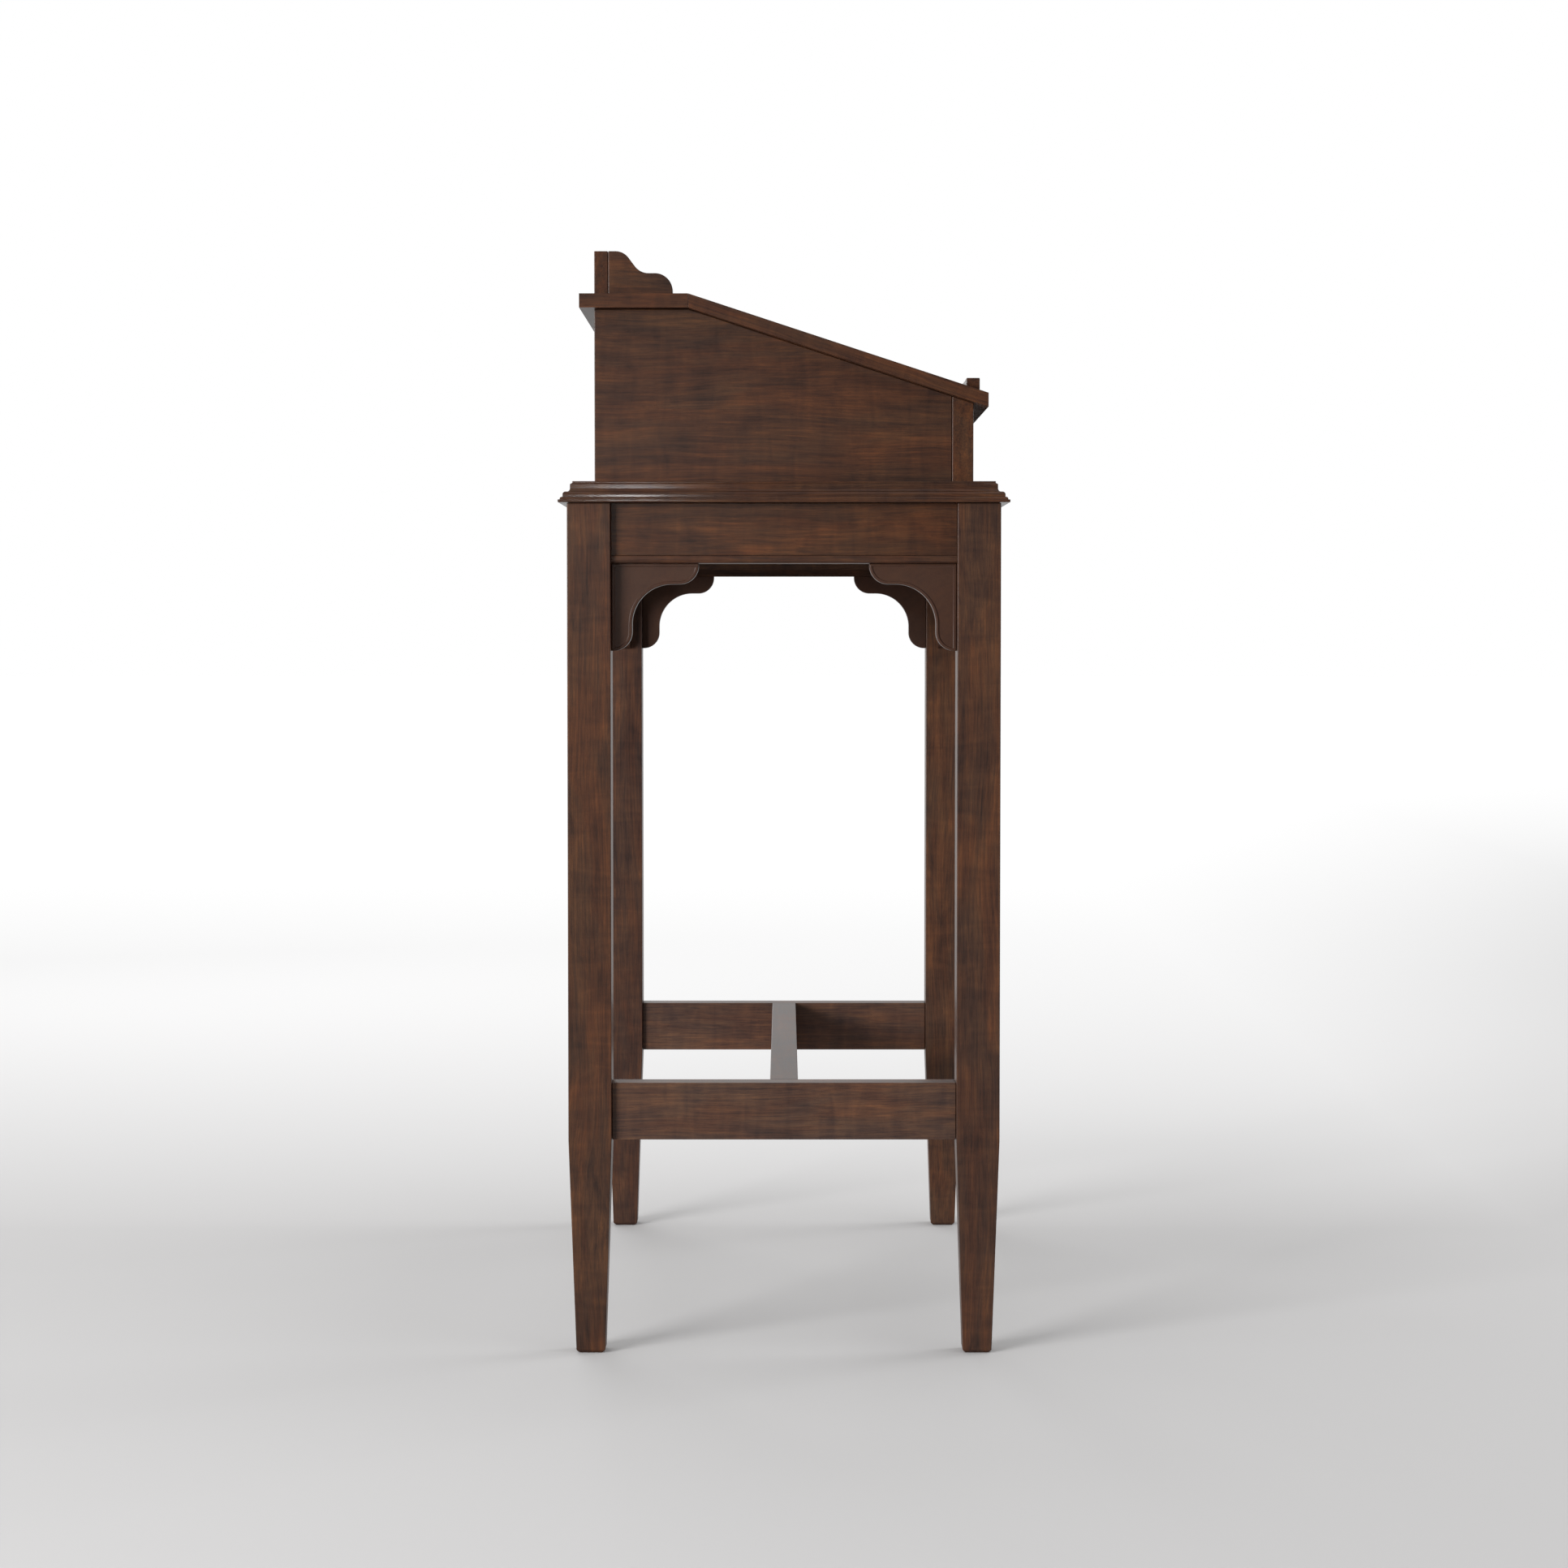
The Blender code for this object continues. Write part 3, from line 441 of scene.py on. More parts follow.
def metal(name, colour, roughness, scratch=0.10):
    """Brushed or plated metal: a fine scatter of rubs in the gloss, and tarnish in the colour."""
    material = bpy.data.materials.new(name)
    material.use_nodes = True
    g = Graph(material.node_tree)
    shader = material.node_tree.nodes["Principled BSDF"]
    where = g.node("ShaderNodeTexCoord").outputs["Object"]
    rubs = g.noise(g.vector("MULTIPLY", where, RUBS), 3.0)
    stain = g.noise(g.vector("MULTIPLY", where, STAINS), 4.0, 0.6)
    dull = tuple(TARNISH * level for level in colour)
    mixed = g.blend("MIX", g.stretch(stain, 0.48, 0.75), (*colour, 1), (*dull, 1))
    g.put(mixed, shader.inputs["Base Color"])
    g.put(g.math("ADD", roughness, g.math("MULTIPLY", rubs, scratch)), shader.inputs["Roughness"])
    g.put(g.bump(rubs, 0.2, 0.00005), shader.inputs["Normal"])
    shader.inputs["Metallic"].default_value = 1.0
    return material


WOOD = wood_group()
BRACKET_WOOD = wood("bracket", "X", (0, 0, 0.78), (0.3, 0.2), (0.98, 1.04, 1.16), 0.5)
BRASS = metal("aged brass", (0.52, 0.36, 0.16), 0.27)
STEEL = metal("plated steel", (0.58, 0.59, 0.60), 0.28)


def dress(obj, material):
    """Gives the object one material, whatever slots it came with."""
    if not obj.material_slots:
        obj.data.materials.append(material)
    for slot in obj.material_slots:
        slot.link = "OBJECT"
        slot.material = material


def piece(obj, body, slot, material, *replaced):
    """Gives a finished piece its look, hangs it on the body it rides on and hides the CAD nodes it stands
    for.
    """
    dress(obj, material)
    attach(obj, body)
    if replaced:
        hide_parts(*replaced)
    return obj


# ---------------------------------------------------------------- boards that keep their CAD solids

EASE = 0.0009
SHARP = 0.0003  # where a bead and the moulding close up to the board
SAME_CORNER = 0.00001
SAME_PLANE = 0.5  # degrees
CLEAT = 0.0320  # a strip across each end of the lid and the top board
FLAT_SAWN = (0.015, 0.070)
BARE_WOOD = (2.6, 3.1, 3.6)  # the corner blocks take no stain
# Each tint is mostly the board's own tone. On the far apron, the end stretchers and the right-hand and back
# legs it is also painted light: it lightens pieces that lie in shade or far from the key lamp.
BOARDS = {  # node: (grain, where the tree's heart lies from the board's centre, tint)
    "apron_left": ("Y", (0.090, 0.010), (1.04, 0.98, 0.86)),
    # painted light: this tint lightens the far apron, whose inner face lies in shade under the top
    "apron_right": ("Y", (-0.080, 0.020), (1.60, 1.84, 2.05)),
    "apron_front": ("X", (0.080, 0.015), (1.00, 0.90, 0.80)),
    "apron_back": ("X", (-0.080, 0.012), (0.98, 0.90, 0.84)),
    # painted light: the end stretchers' tints lighten them where the lamps leave them in shade
    "stretcher_left": ("Y", (0.060, 0.015), (1.36, 1.62, 1.95)),
    "stretcher_right": ("Y", (-0.060, 0.010), (1.44, 1.70, 2.10)),
    "stretcher_centre": ("X", (0.050, 0.020), (1.05, 1.10, 1.15)),
    "case_side_left": ("Y", (0.120, -0.030), (0.94, 0.94, 0.92)),
    "case_side_right": ("Y", (-0.120, 0.030), (0.95, 0.93, 0.90)),
    "case_front": ("X", (0.110, 0.004), (1.16, 1.11, 0.96)),
    "case_back": ("X", (-0.120, 0.020), (0.92, 0.84, 0.78)),
    "case_top": ("X", (0.040, 0.060), (0.92, 0.86, 0.78)),
    "lid": ("X", (0.060, 0.120), (0.94, 0.88, 0.80)),
    "album_ledge": ("X", (0.030, 0.050), (0.88, 0.82, 0.78)),
    "gallery_back": ("X", (0.080, 0.006), (0.86, 0.77, 0.64)),
    "leg_front_left": ("Z", (0.004, 0.075), (1.06, 1.12, 1.20)),
    # partly painted light: these tints also lighten the legs that lie further from the key lamp
    "leg_front_right": ("Z", (0.012, -0.070), (1.30, 1.38, 1.40)),
    "leg_back_left": ("Z", (-0.010, 0.080), (1.14, 1.13, 1.05)),
    "leg_back_right": ("Z", (-0.012, -0.070), (1.12, 1.16, 1.28)),
}


def keep_board(name, look):
    """A CAD board made fit to look at: its triangles joined into faces and its arrises eased."""
    obj = nodes[name]
    weld = obj.modifiers.new("joined corners", "WELD")
    weld.merge_threshold = SAME_CORNER
    flat = obj.modifiers.new("whole faces", "DECIMATE")
    flat.decimate_type = "DISSOLVE"
    flat.angle_limit = math.radians(SAME_PLANE)
    eased(obj, SHARP if name.startswith("apron") else EASE)
    dress(obj, look)


LEANS = {"lid": LID_ANGLE}
CLEATS = {board: (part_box(board)[1].x - CLEAT, 0.0) for board in ("lid", "case_top")}

for board, (grain, heart_at, tone_and_painted_light) in BOARDS.items():
    lean = LEANS.get(board, 0.0)
    cleat = CLEATS.get(board)
    keep_board(board, wood(board, grain, middle(board), heart_at, tone_and_painted_light, lean=lean, ends=cleat))
for end in ENDS:
    for side in SIDES:
        block = f"corner_block_{end}_{side}"
        keep_board(block, wood(block, "Z", middle(block), FLAT_SAWN, BARE_WOOD, 1.2))


# ---------------------------------------------------------------- the moulded table top

def rounded_rectangle(half_x, half_y, radius, z):
    ring = []
    for number, (sign_x, sign_y) in enumerate(((1, 1), (-1, 1), (-1, -1), (1, -1))):
        centre = (sign_x * (half_x - radius), sign_y * (half_y - radius))
        start = number * QUARTER
        ring += [(x, y, z) for x, y in arc(centre, radius, start, start + QUARTER, 4)]
    return ring


def moulded_top():
    """The lip, two quarter rounds, the cove and the bevel, run round all four edges."""
    low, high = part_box("table_top")
    profile = [  # (inset from the lip, height)
        *arc((0.0004, 0.0004), 0.0004, 3 * QUARTER, 2 * QUARTER, 2),
        *arc((0.0005, 0.0024), 0.0005, 2 * QUARTER, QUARTER, 3),
        (0.0019, 0.0029),
        *arc((0.0043, 0.0034), 0.0024, 2 * QUARTER, QUARTER, 12),
        (0.0047, 0.0058),
        *arc((0.0079, 0.0081), 0.0032, 2 * QUARTER, QUARTER, 12),
        *arc((0.0086, 0.0147), 0.0034, -QUARTER, 0, 12),
        *arc((0.0126, 0.0188), 0.0006, 2 * QUARTER, 1.55 * QUARTER, 2),
        (0.0142, 0.0205),
        *arc((0.0146, 0.0218), 0.0004, 2 * QUARTER, QUARTER, 3),
    ]
    rings = []
    for inset, height in profile:
        rings.append(rounded_rectangle(high.x - inset, high.y - inset, 0.0006, low.z + height))
    obj = true_flats(mesh_object("moulded_top", loft(rings), 50))
    mitred = (high.x - high.y, 1.0)
    tint = (0.90, 0.96, 1.04)
    look = wood("moulded_top", "X", middle("table_top"), (0.010, 0.030), tint, ends=mitred,
                coat_roughness=POLISHED_COAT)
    piece(obj, "stand", "stained_wood", look, "table_top")


moulded_top()


# ---------------------------------------------------------------- corner brackets

BRACKET_LOW, BRACKET_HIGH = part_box("bracket_left_front")
BRACKET = BRACKET_HIGH.z - BRACKET_LOW.z
NOSE = 0.0214
NOSE_RADIUS = 0.0197
HOLLOW_RADIUS = 0.0416
RIM = 0.0026  # a raised border round the sunk field of the face that shows
FIELD = 0.0011
BACK_ARRIS = 0.0006
FACE_ARRIS = 0.0011


def bracket_ring(inset):
    """The outline drawn in by `inset`: the apron along the first axis, the leg down the second."""
    nose = BRACKET - NOSE_RADIUS
    rim = NOSE - NOSE_RADIUS
    hollow = NOSE + HOLLOW_RADIUS
    radius = NOSE_RADIUS - inset
    cut = math.asin(max(0, inset - rim) / radius)
    upper = arc((nose, -rim), radius, -cut, -QUARTER, 18)
    curve = arc((hollow, -hollow), HOLLOW_RADIUS + inset, QUARTER, 2 * QUARTER, 26)
    lower = arc((rim, -nose), radius, 0, cut - QUARTER, 18)
    return [(inset, -inset), (upper[0][0], -inset), *upper, *curve, *lower, (inset, lower[-1][1])]


def bracket(face, toward):
    """One bracket on the face of the frame named `face`, against the leg on the side `toward`."""
    name = f"bracket_{face}_{toward}"
    low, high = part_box(name)
    half = (high - low) / 2
    thick = abs(half.dot(OUTWARDS[face]))
    away = OUTWARDS[toward]
    corner = middle(name) + away * abs(half.dot(away)) + UP * half.z
    profile = [  # (inset, distance from the middle of the thickness)
        *arc((BACK_ARRIS, BACK_ARRIS - thick), BACK_ARRIS, 3 * QUARTER, 2 * QUARTER, 3),
        *arc((FACE_ARRIS, thick - FACE_ARRIS), FACE_ARRIS, 2 * QUARTER, QUARTER, 5),
        *arc((RIM + FIELD, thick), FIELD, 2 * QUARTER, 3 * QUARTER, 4),
    ]
    rings = []
    for inset, depth in profile:
        outwards = corner + OUTWARDS[face] * depth
        rings.append([outwards - away * along + UP * height for along, height in bracket_ring(inset)])
    obj = true_flats(mesh_object(f"shaped_{name}", loft(rings), 50))
    piece(obj, "stand", "bracket_wood", BRACKET_WOOD, name)


for side in SIDES:
    for end in ENDS:
        bracket(side, end)
        bracket(end, side)


# ---------------------------------------------------------------- beads under the aprons

BEAD_ARRIS = 0.0006


def bead(face):
    """A strip as wide as the apron is thick, its nose square above and round below.

    Behind the nose it is taller by the joint's gap, above and below, so that no light shows through.
    """
    name = f"bead_{face}"
    low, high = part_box(name)
    radius = (high.z - low.z) / 2
    out = OUTWARDS[face]
    along = UP.cross(out)
    half = (high - low) / 2
    deep = abs(half.dot(out))
    long = abs(half.dot(along))
    root = deep - 1.2 * radius
    closed = radius + GAP
    section = [
        *arc((deep - radius, 0), radius, -QUARTER, 0, 20),
        *arc((deep - BEAD_ARRIS, radius - BEAD_ARRIS), BEAD_ARRIS, 0, QUARTER, 4),
        (root, radius),
        (root, closed),
        (-deep, closed),
        (-deep, -closed),
        (root, -closed),
        (root, -radius),
    ]
    rings = []
    for end in (-long, long):
        start = middle(name) + along * end
        rings.append([start + out * depth + UP * height for depth, height in section])
    obj = mesh_object(f"round_{name}", loft(rings))
    grain = "Y" if face in SIDES else "X"
    look = wood(name, grain, middle(name), FLAT_SAWN, (0.92, 0.96, 1.00))
    piece(obj, "stand", "stained_wood", look, name)


for face in OUTWARDS:
    bead(face)


# ---------------------------------------------------------------- the gallery's scroll ends

SCROLL_TOP = 0.0076
SCROLL_SLOPE = math.radians(53)
SCROLL_UPPER = 0.0170
SCROLL_LOWER = 0.0177
SCROLL_WAIST = 0.0225
SCROLL_NOSE = 0.0185


def scroll_outline(low, high, board_top):
    """(y, z): a flat, a hollow-and-round fall to the waist, and a quarter-round nose in front."""
    high_z = high.z - board_top
    drop = high_z - SCROLL_WAIST
    both = SCROLL_UPPER + SCROLL_LOWER
    straight = (drop - both * (1 - math.cos(SCROLL_SLOPE))) / math.sin(SCROLL_SLOPE)
    run = both * math.sin(SCROLL_SLOPE) + straight * math.cos(SCROLL_SLOPE)
    long = high.y - low.y
    upper = (SCROLL_TOP, high_z - SCROLL_UPPER)
    lower = (SCROLL_TOP + run, SCROLL_WAIST + SCROLL_LOWER)
    nose = (long - SCROLL_NOSE, SCROLL_WAIST - SCROLL_NOSE)
    sunk = low.z - board_top
    ahead = [
        (0, sunk),
        (0, high_z),
        *arc(upper, SCROLL_UPPER, QUARTER, QUARTER - SCROLL_SLOPE, 18),
        *arc(lower, SCROLL_LOWER, -QUARTER - SCROLL_SLOPE, -QUARTER, 18),
        *arc(nose, SCROLL_NOSE, QUARTER, 0, 20),
        (long, sunk),
    ]
    return [(high.y - forward, board_top + z) for forward, z in ahead]


for side in SIDES:
    name = f"gallery_end_{side}"
    low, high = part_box(name)
    scroll = prism(scroll_outline(low, high, FLAT_HIGH.z), "X", low.x, high.x)
    obj = eased(mesh_object(f"scroll_{name}", scroll, 30), EASE, 3, 40)
    look = wood(name, "Y", middle(name), (0.090, 0.030), (0.90, 0.88, 0.84))
    piece(obj, "stand", "stained_wood", look, name)


# ---------------------------------------------------------------- corner bolts

BOLT = 0.0030  # radius
NUT = 0.0055  # radius of the hexagon's corners
NUT_FLAT = 0.0048  # radius of its end faces, inside the chamfer
WASHER = 0.0080  # radius
WASHER_FACE = 0.0077


def nut_ring(radius, z, limit, sides=48):
    """A hexagon's outline held inside a circle, as a nut's chamfer holds its corners."""
    flat = radius * math.cos(math.pi / 6)
    ring = []
    for i in range(sides):
        turn = 2 * math.pi * i / sides
        reach = min(limit, flat / math.cos((turn % (math.pi / 3)) - math.pi / 6))
        ring.append((reach * math.cos(turn), reach * math.sin(turn), z))
    return ring


def round_ring(radius, z, sides=48):
    return nut_ring(10 * radius, z, radius, sides)


def threaded(radius, start, stop, pitch=0.0010, root=0.86):
    """Rings of a screw thread drawn as close ridges; `root` is its depth as a share of the radius."""
    rings = []
    turns = int((stop - start) / pitch)
    for number in range(turns):
        z = start + number * pitch
        rings.append(round_ring(radius * root, z))
        rings.append(round_ring(radius, z + pitch / 2))
    return rings


def corner_bolt(end, side):
    """A hanger bolt through the corner block, with its washer and chamfered nut."""
    low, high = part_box(f"corner_block_{end}_{side}")
    across = high.x - low.x + GAP
    corner = middle(f"corner_block_{end}_{side}")
    corner.x += SIDES[side] * (across / 2 + GAP / 2)
    corner.y += ENDS[end] * (across / 2 + GAP / 2)
    inwards = -(OUTWARDS[side] + OUTWARDS[end]).normalized()
    rings = [  # heights from the block's face; the leg is below it
        round_ring(0.0008, -0.0520),
        round_ring(BOLT, -0.0480),
        round_ring(BOLT, GAP),
        round_ring(WASHER_FACE, GAP),
        round_ring(WASHER, 0.0006),
        round_ring(WASHER, 0.0015),
        round_ring(WASHER_FACE, 0.0018),
        nut_ring(NUT, 0.0018, NUT_FLAT),
        nut_ring(NUT, 0.0024, NUT),
        nut_ring(NUT, 0.0062, NUT),
        nut_ring(NUT, 0.0068, NUT_FLAT),
        *threaded(BOLT, 0.0068, 0.0122),
        round_ring(0.0029, 0.0123),
        round_ring(0.0023, 0.0128),
    ]
    bolt = moved(loft(rings), standing(corner + inwards * across / math.sqrt(2), inwards))
    obj = mesh_object(f"threaded_corner_bolt_{end}_{side}", bolt)
    piece(obj, "stand", "steel", STEEL, f"corner_bolt_{end}_{side}")


for end in ENDS:
    for side in SIDES:
        corner_bolt(end, side)


# ---------------------------------------------------------------- screws

SHANK = 0.0013  # radius
SCREW_PITCH = 0.0009
SCREW_TURNS = 9
SCREW_SLOT = (0.0080, 0.0007, 0.0012)


def screw_mesh(name, head):
    """A slotted wood screw about Z whose shank goes down from z = 0; `head` is its profile at the top."""
    thread = [(0.0003, -0.0105)]
    for number in range(SCREW_TURNS):
        z = -0.0100 + number * SCREW_PITCH
        thread.append((SHANK * 0.75, z))
        thread.append((SHANK, z + SCREW_PITCH / 2))
    obj = mesh_object(name, turned([*thread, *head]))
    top = head[-1][1]
    combine(obj, mesh_object("slot", box(SCREW_SLOT, (0, 0, top))), "DIFFERENCE")
    mesh = obj.data
    bpy.data.objects.remove(obj)
    return mesh


COUNTERSUNK = screw_mesh("countersunk screw", [(SHANK, -0.0015), (0.0027, -0.0002), (0.0027, -0.00005)])
PAN_HEAD = screw_mesh("pan-head screw", [
    (SHANK, 0.0),
    (0.0026, 0.0),
    (0.0027, 0.0003),
    (0.0025, 0.0009),
    (0.0018, 0.0013),
    (0.0008, 0.0014),
])
SLOT_TURN = 1.1  # radians from one screw's slot to the next one's
screw_count = 0


def screw(name, mesh, at, away, body, *replaced):
    """A screw whose head faces `away`; each one's slot stops at an angle of its own."""
    global screw_count
    screw_count += 1
    obj = link(bpy.data.objects.new(name, mesh))
    obj.matrix_world = standing(at, away) @ Matrix.Rotation(SLOT_TURN * screw_count, 4, "Z")
    piece(obj, body, "brass", BRASS, *replaced)


# ---------------------------------------------------------------- hinges

RISE = 0.0006  # the axis above the boards' top
LEAF_WIDE = 0.0200
LEAF_THICK = 0.0016
BARREL = 0.0030
PIN = 0.0018
KNUCKLE = 0.0091  # half the middle knuckle
KNUCKLE_PLAY = 0.0001
SCREW_X = 0.0180
SCREW_Y = 0.0125
SINK = [(0.0016, -0.01), (0.0016, -0.0015), (0.0030, 0.0), (0.0030, 0.002)]  # (radius, height)
BORE = PIN + 0.0002
BORE_HALF = 0.0400  # beyond the barrel's ends
LEAF_ARRIS = 0.00015
DOME_ARRIS = 0.0004
DOME = 0.0007


def knuckle_section():
    """(y, z) of a leaf rolled round the pin, from the leaf's top right round to its underside."""
    top = math.asin(-RISE / BARREL)
    under = math.asin(-(RISE + LEAF_THICK) / BARREL) + 4 * QUARTER
    root = BARREL + 0.0010
    return [(root, -RISE), *arc((0, 0), BARREL, top, under, 40), (root, -RISE - LEAF_THICK)]


def leaf(side, kind, turn, knuckles, body):
    """A leaf along +Y with its rolled knuckles, bored for the pin and countersunk for two screws."""
    name = f"hinge_{side}_{kind}_leaf"
    low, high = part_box(name)
    half = (high.x - low.x) / 2
    at = Vector((middle(f"hinge_{side}_pin").x, HINGE.y, HINGE.z))
    place = Matrix.Translation(at) @ turn
    clear = BARREL + FIT
    size = (2 * half, LEAF_WIDE - clear, LEAF_THICK)
    slab = box(size, (0, (LEAF_WIDE + clear) / 2, -RISE - LEAF_THICK / 2))
    obj = mesh_object(f"rolled_{name}", slab)
    for start, stop in knuckles:
        combine(obj, mesh_object("knuckle", prism(knuckle_section(), "X", start, stop)), "UNION")
    along_x = Matrix.Rotation(QUARTER, 4, "Y")
    up = turn.to_3x3() @ UP
    bore = moved(turned([(BORE, -BORE_HALF), (BORE, BORE_HALF)]), along_x)
    combine(obj, mesh_object("bore", bore), "DIFFERENCE")
    for number, x in enumerate((-SCREW_X, SCREW_X), 1):
        hole = Vector((x, SCREW_Y, -RISE))
        sink = moved(turned(SINK), Matrix.Translation(hole))
        combine(obj, mesh_object("sink", sink), "DIFFERENCE")
        drilled = f"{name}_screw_{number}"
        screw(f"slotted_{name}_{number}", COUNTERSUNK, place @ hole, up, body, drilled)
    obj.data.transform(place)
    true_flats(eased(obj, LEAF_ARRIS, 2, 40))
    piece(obj, body, "brass", BRASS, name)


def pin(side):
    """The hinge pin, with a low domed head at each end."""
    name = f"hinge_{side}_pin"
    low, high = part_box(name)
    half = (high.x - low.x) / 2
    head = (high.z - low.z) / 2
    dome = [
        (head, half - DOME),
        (head, half - DOME_ARRIS),
        (head * 0.85, half - 0.0001),
        (head * 0.45, half),
    ]
    profile = [(radius, -x) for radius, x in reversed(dome)]
    profile += [(PIN, DOME - half), (PIN, half - DOME)]
    profile += dome
    lying = Matrix.Translation(middle(name)) @ Matrix.Rotation(QUARTER, 4, "Y")
    obj = mesh_object(f"domed_{name}", moved(turned(profile), lying))
    piece(obj, "stand", "brass", BRASS, name)


def hinge(side):
    """The fixed leaf with its two outer knuckles, the lid's leaf with the one between, and the pin."""
    low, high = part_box(f"hinge_{side}_fixed_leaf")
    half = (high.x - low.x) / 2
    clear = KNUCKLE + 2 * KNUCKLE_PLAY
    outer = [(-half, -clear), (clear, half)]
    inner = [(KNUCKLE_PLAY - KNUCKLE, KNUCKLE - KNUCKLE_PLAY)]
    turned_round = TILT @ Matrix.Rotation(math.pi, 4, "Z")
    leaf(side, "fixed", Matrix.Identity(4), outer, "stand")
    leaf(side, "lid", turned_round, inner, "lid")
    pin(side)


for side in SIDES:
    hinge(side)


# ---------------------------------------------------------------- lid stays and their keepers

STAY_RADIUS = 0.0750
STAY_X = 0.3605
STAY_THICK = 0.0030
STAY_WIDE = 0.0080
STOP_WIDE = 0.0130
STOP_ARC = math.radians(4)
KEEPER_ANGLE = math.radians(40)
KEEPER_HALF = 0.0050
KEEPER_RADIAL = 0.0160
FOOT_LONG = 0.0320
FOOT_WIDE = 0.0120
FOOT_THICK = 0.0020
FOOT_SCREW_Y = 0.0105
LID_OPENS = math.radians(frame["joints"][0]["range_deg"][1])


def on_arc(radius, angle):
    """(y, z) at an angle below the level in front of the hinge axis."""
    return (HINGE.y - radius * math.cos(angle), HINGE.z - radius * math.sin(angle))


def stay(side):
    """A flat brass band bent about the hinge axis: a foot under the lid, a wider stop at its end."""
    foot_middle = (RISE + LID_THICK) * math.cos(LID_ANGLE) + GAP + FOOT_THICK / 2
    start = LID_ANGLE + math.asin(foot_middle / STAY_RADIUS)
    stop = KEEPER_ANGLE + LID_OPENS + (KEEPER_HALF + FIT) / STAY_RADIUS
    turns = [start + (stop - start) * i / 96 for i in range(97)]
    half = STAY_WIDE / 2
    wide = STOP_WIDE / 2
    end = stop + STOP_ARC
    outline = [on_arc(STAY_RADIUS + half, turn) for turn in turns]
    outline += [on_arc(STAY_RADIUS + wide, stop), on_arc(STAY_RADIUS + wide, end)]
    outline += [on_arc(STAY_RADIUS - wide, end), on_arc(STAY_RADIUS - wide, stop)]
    outline += [on_arc(STAY_RADIUS - half, turn) for turn in reversed(turns)]
    x = SIDES[side] * STAY_X
    band = prism(outline, "X", x - STAY_THICK / 2, x + STAY_THICK / 2)
    obj = mesh_object(f"bent_stay_{side}", band, 30)
    along = math.sqrt(STAY_RADIUS ** 2 - foot_middle ** 2)
    inboard = -SIDES[side] * (FOOT_WIDE - STAY_THICK) / 2
    place = Matrix.Translation((x, HINGE.y, HINGE.z)) @ TILT
    foot = box((FOOT_WIDE, FOOT_LONG, FOOT_THICK), (inboard, -along, -foot_middle))
    combine(obj, mesh_object("foot", moved(foot, place)), "UNION")
    piece(eased(obj, 0.0004, 2, 30), "lid", "brass", BRASS, f"stay_{side}")
    down = TILT.to_3x3() @ -UP
    for number, offset in enumerate((-FOOT_SCREW_Y, FOOT_SCREW_Y), 1):
        under = Vector((1.35 * inboard, offset - along, -foot_middle - FOOT_THICK / 2))
        screw(f"stay_{side}_foot_screw_{number}", PAN_HEAD, place @ under, down, "lid")


def keeper(side):
    """A brass block on the case side, slotted for the stay to slide through."""
    name = f"keeper_{side}"
    low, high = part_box(name)
    y, z = on_arc(STAY_RADIUS, KEEPER_ANGLE)
    at = Vector((middle(name).x, y, z))
    place = Matrix.Translation(at) @ Matrix.Rotation(KEEPER_ANGLE, 4, "X")
    body = box((high.x - low.x, KEEPER_RADIAL, 2 * KEEPER_HALF))
    obj = mesh_object(f"slotted_{name}", moved(body, place))
    through = 4 * KEEPER_HALF
    slot = box((STAY_THICK + 2 * FIT, STAY_WIDE + 3 * FIT, through), (SIDES[side] * STAY_X - at.x, 0, 0))
    combine(obj, mesh_object("slot", moved(slot, place)), "DIFFERENCE")
    piece(eased(obj, 0.0005, 3, 30), "stand", "brass", BRASS, name)


for side in SIDES:
    stay(side)
    keeper(side)


# ---------------------------------------------------------------- camera, floor and light

CAMERA_AT = Vector((-4.0009, 0.0, 0.7496))
CAMERA_DOWN = math.radians(2.45)
LENS = 79.48
SENSOR = 36
FLOOR = (0.435, 0.43, 0.43)
FLOOR_RADIUS = 60.0
FADE_FROM = 0.35  # the floor starts to turn white this far behind the stand's middle
FADE_LATER = 1.8  # and so much later for each metre that it lies further aside than SIDE_FROM
FADE_LENGTH = 2.4
FADE_LONGER = 0.6
SIDE_FROM = 0.95
ROUND_FROM = 3.5  # and everywhere beyond this distance
WHITE_FLOOR = 1.05
CARD_SIZE = (4.4, 9.0, 1.0)
CARD_AT = (-5.3, 0, 2.25)
LAMPS = {  # name: (where, what it faces, size, watts)
    "key": ((-4.6, 3.78, 1.50), (-0.4, 0, 0.85), (2.9, 1.6), 590),
    "catch light": ((-4.0, 0.32, 1.045), (-0.4, 0, 0.9), (0.10, 0.05), 3.0),
    "fill for the reader's side": ((1.2, -3.4, 1.8), (0, 0, 0.7), (1.8, 1.4), 50),
    "fill for the far end": ((3.6, 1.4, 1.8), (0, 0, 0.7), (1.8, 1.4), 40),
}


def camera():
    data = bpy.data.cameras.new("camera")
    data.lens = LENS
    data.sensor_width = SENSOR
    obj = link(bpy.data.objects.new("camera", data))
    obj.location = CAMERA_AT
    gaze = Vector((math.cos(CAMERA_DOWN), 0, -math.sin(CAMERA_DOWN)))
    obj.rotation_euler = gaze.to_track_quat("-Z", "Y").to_euler()
    bpy.context.scene.camera = obj


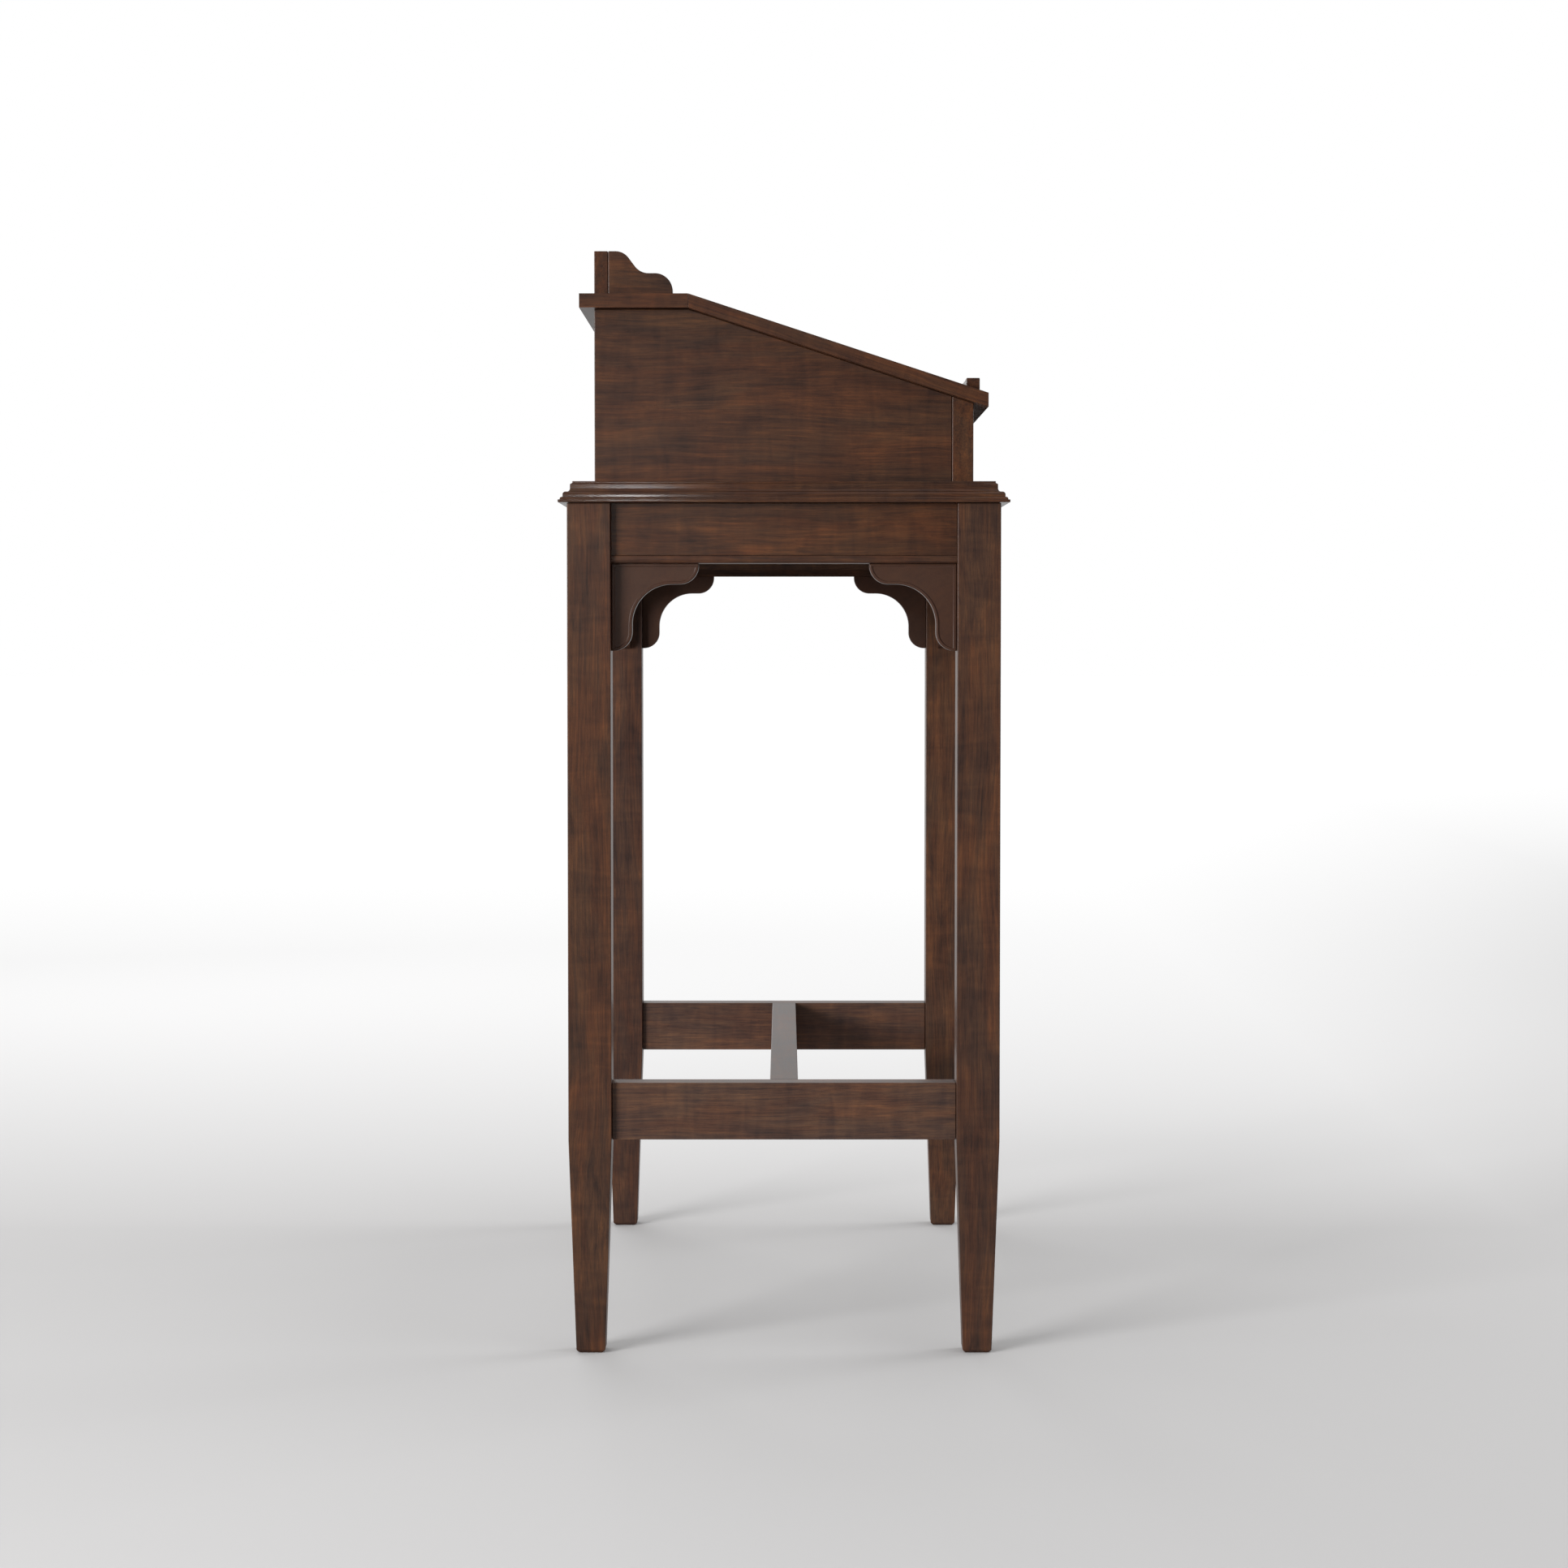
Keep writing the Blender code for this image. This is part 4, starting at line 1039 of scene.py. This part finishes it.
def floor():
    """A pale floor that runs out to white, so that no horizon shows."""
    bm = bmesh.new()
    bmesh.ops.create_circle(bm, cap_ends=True, radius=FLOOR_RADIUS, segments=96)
    obj = mesh_object("floor", bm)
    material = bpy.data.materials.new("pale floor")
    material.use_nodes = True
    g = Graph(material.node_tree)
    shader = material.node_tree.nodes["Principled BSDF"]
    where = g.node("ShaderNodeTexCoord").outputs["Object"]
    split = g.node("ShaderNodeSeparateXYZ")
    g.put(where, split.inputs[0])
    to_reader = g.math("MULTIPLY", split.outputs[1], -1.0)
    aside = g.math("MAXIMUM", g.math("SUBTRACT", to_reader, SIDE_FROM), 0.0)
    start = g.math("ADD", g.math("MULTIPLY", aside, FADE_LATER), FADE_FROM)
    behind = g.math("SUBTRACT", split.outputs[0], start)
    far = g.math("SUBTRACT", g.vector("LENGTH", where), ROUND_FROM)
    depth = g.math("MAXIMUM", g.math("MAXIMUM", behind, far), 0.0)
    fade = g.math("ADD", g.math("MULTIPLY", aside, FADE_LONGER), FADE_LENGTH)
    faded = g.math("EXPONENT", g.math("DIVIDE", g.math("MULTIPLY", depth, -1.0), fade))
    away = g.math("SUBTRACT", 1.0, faded)
    shader.inputs["Base Color"].default_value = (*FLOOR, 1)
    shader.inputs["Roughness"].default_value = 0.8
    shader.inputs["Specular IOR Level"].default_value = 0.1
    glow = g.node("ShaderNodeEmission")
    glow.inputs["Strength"].default_value = WHITE_FLOOR
    mix = g.node("ShaderNodeMixShader")
    g.put(away, mix.inputs[0])
    g.put(shader.outputs[0], mix.inputs[1])
    g.put(glow.outputs[0], mix.inputs[2])
    g.put(mix.outputs[0], material.node_tree.nodes["Material Output"].inputs["Surface"])
    dress(obj, material)


def dark_card():
    """A black card behind the camera, as a studio hangs one, to deepen shade and colour on the near side."""
    bm = bmesh.new()
    bmesh.ops.create_grid(bm, x_segments=1, y_segments=1, size=0.5)
    bmesh.ops.scale(bm, vec=CARD_SIZE, verts=bm.verts)
    card = moved(bm, Matrix.Translation(CARD_AT) @ Matrix.Rotation(QUARTER, 4, "Y"))
    obj = mesh_object("dark_card", card)
    material = bpy.data.materials.new("black card")
    material.use_nodes = True
    shader = material.node_tree.nodes["Principled BSDF"]
    shader.inputs["Base Color"].default_value = (0.02, 0.02, 0.02, 1)
    shader.inputs["Roughness"].default_value = 0.9
    shader.inputs["Specular IOR Level"].default_value = 0.0
    dress(obj, material)
    obj.visible_camera = False


def lamp(name, at, towards, size, power):
    data = bpy.data.lights.new(name, "AREA")
    data.shape = "RECTANGLE"
    data.size, data.size_y = size
    data.energy = power
    obj = link(bpy.data.objects.new(name, data))
    obj.location = at
    obj.rotation_euler = (Vector(towards) - Vector(at)).to_track_quat("-Z", "Y").to_euler()
    obj.visible_camera = False


def surroundings():
    """A white room, one broad soft light on the left, a small one beside the camera, and two fills."""
    world = bpy.data.worlds.new("white room")
    bpy.context.scene.world = world
    world.use_nodes = True
    shade = world.node_tree.nodes["Background"]
    shade.inputs["Color"].default_value = (1, 1, 1, 1)
    shade.inputs["Strength"].default_value = 1.0
    for name, settings in LAMPS.items():
        lamp(name, *settings)
    bpy.context.scene.view_settings.view_transform = "Standard"


camera()
floor()
dark_card()
surroundings()
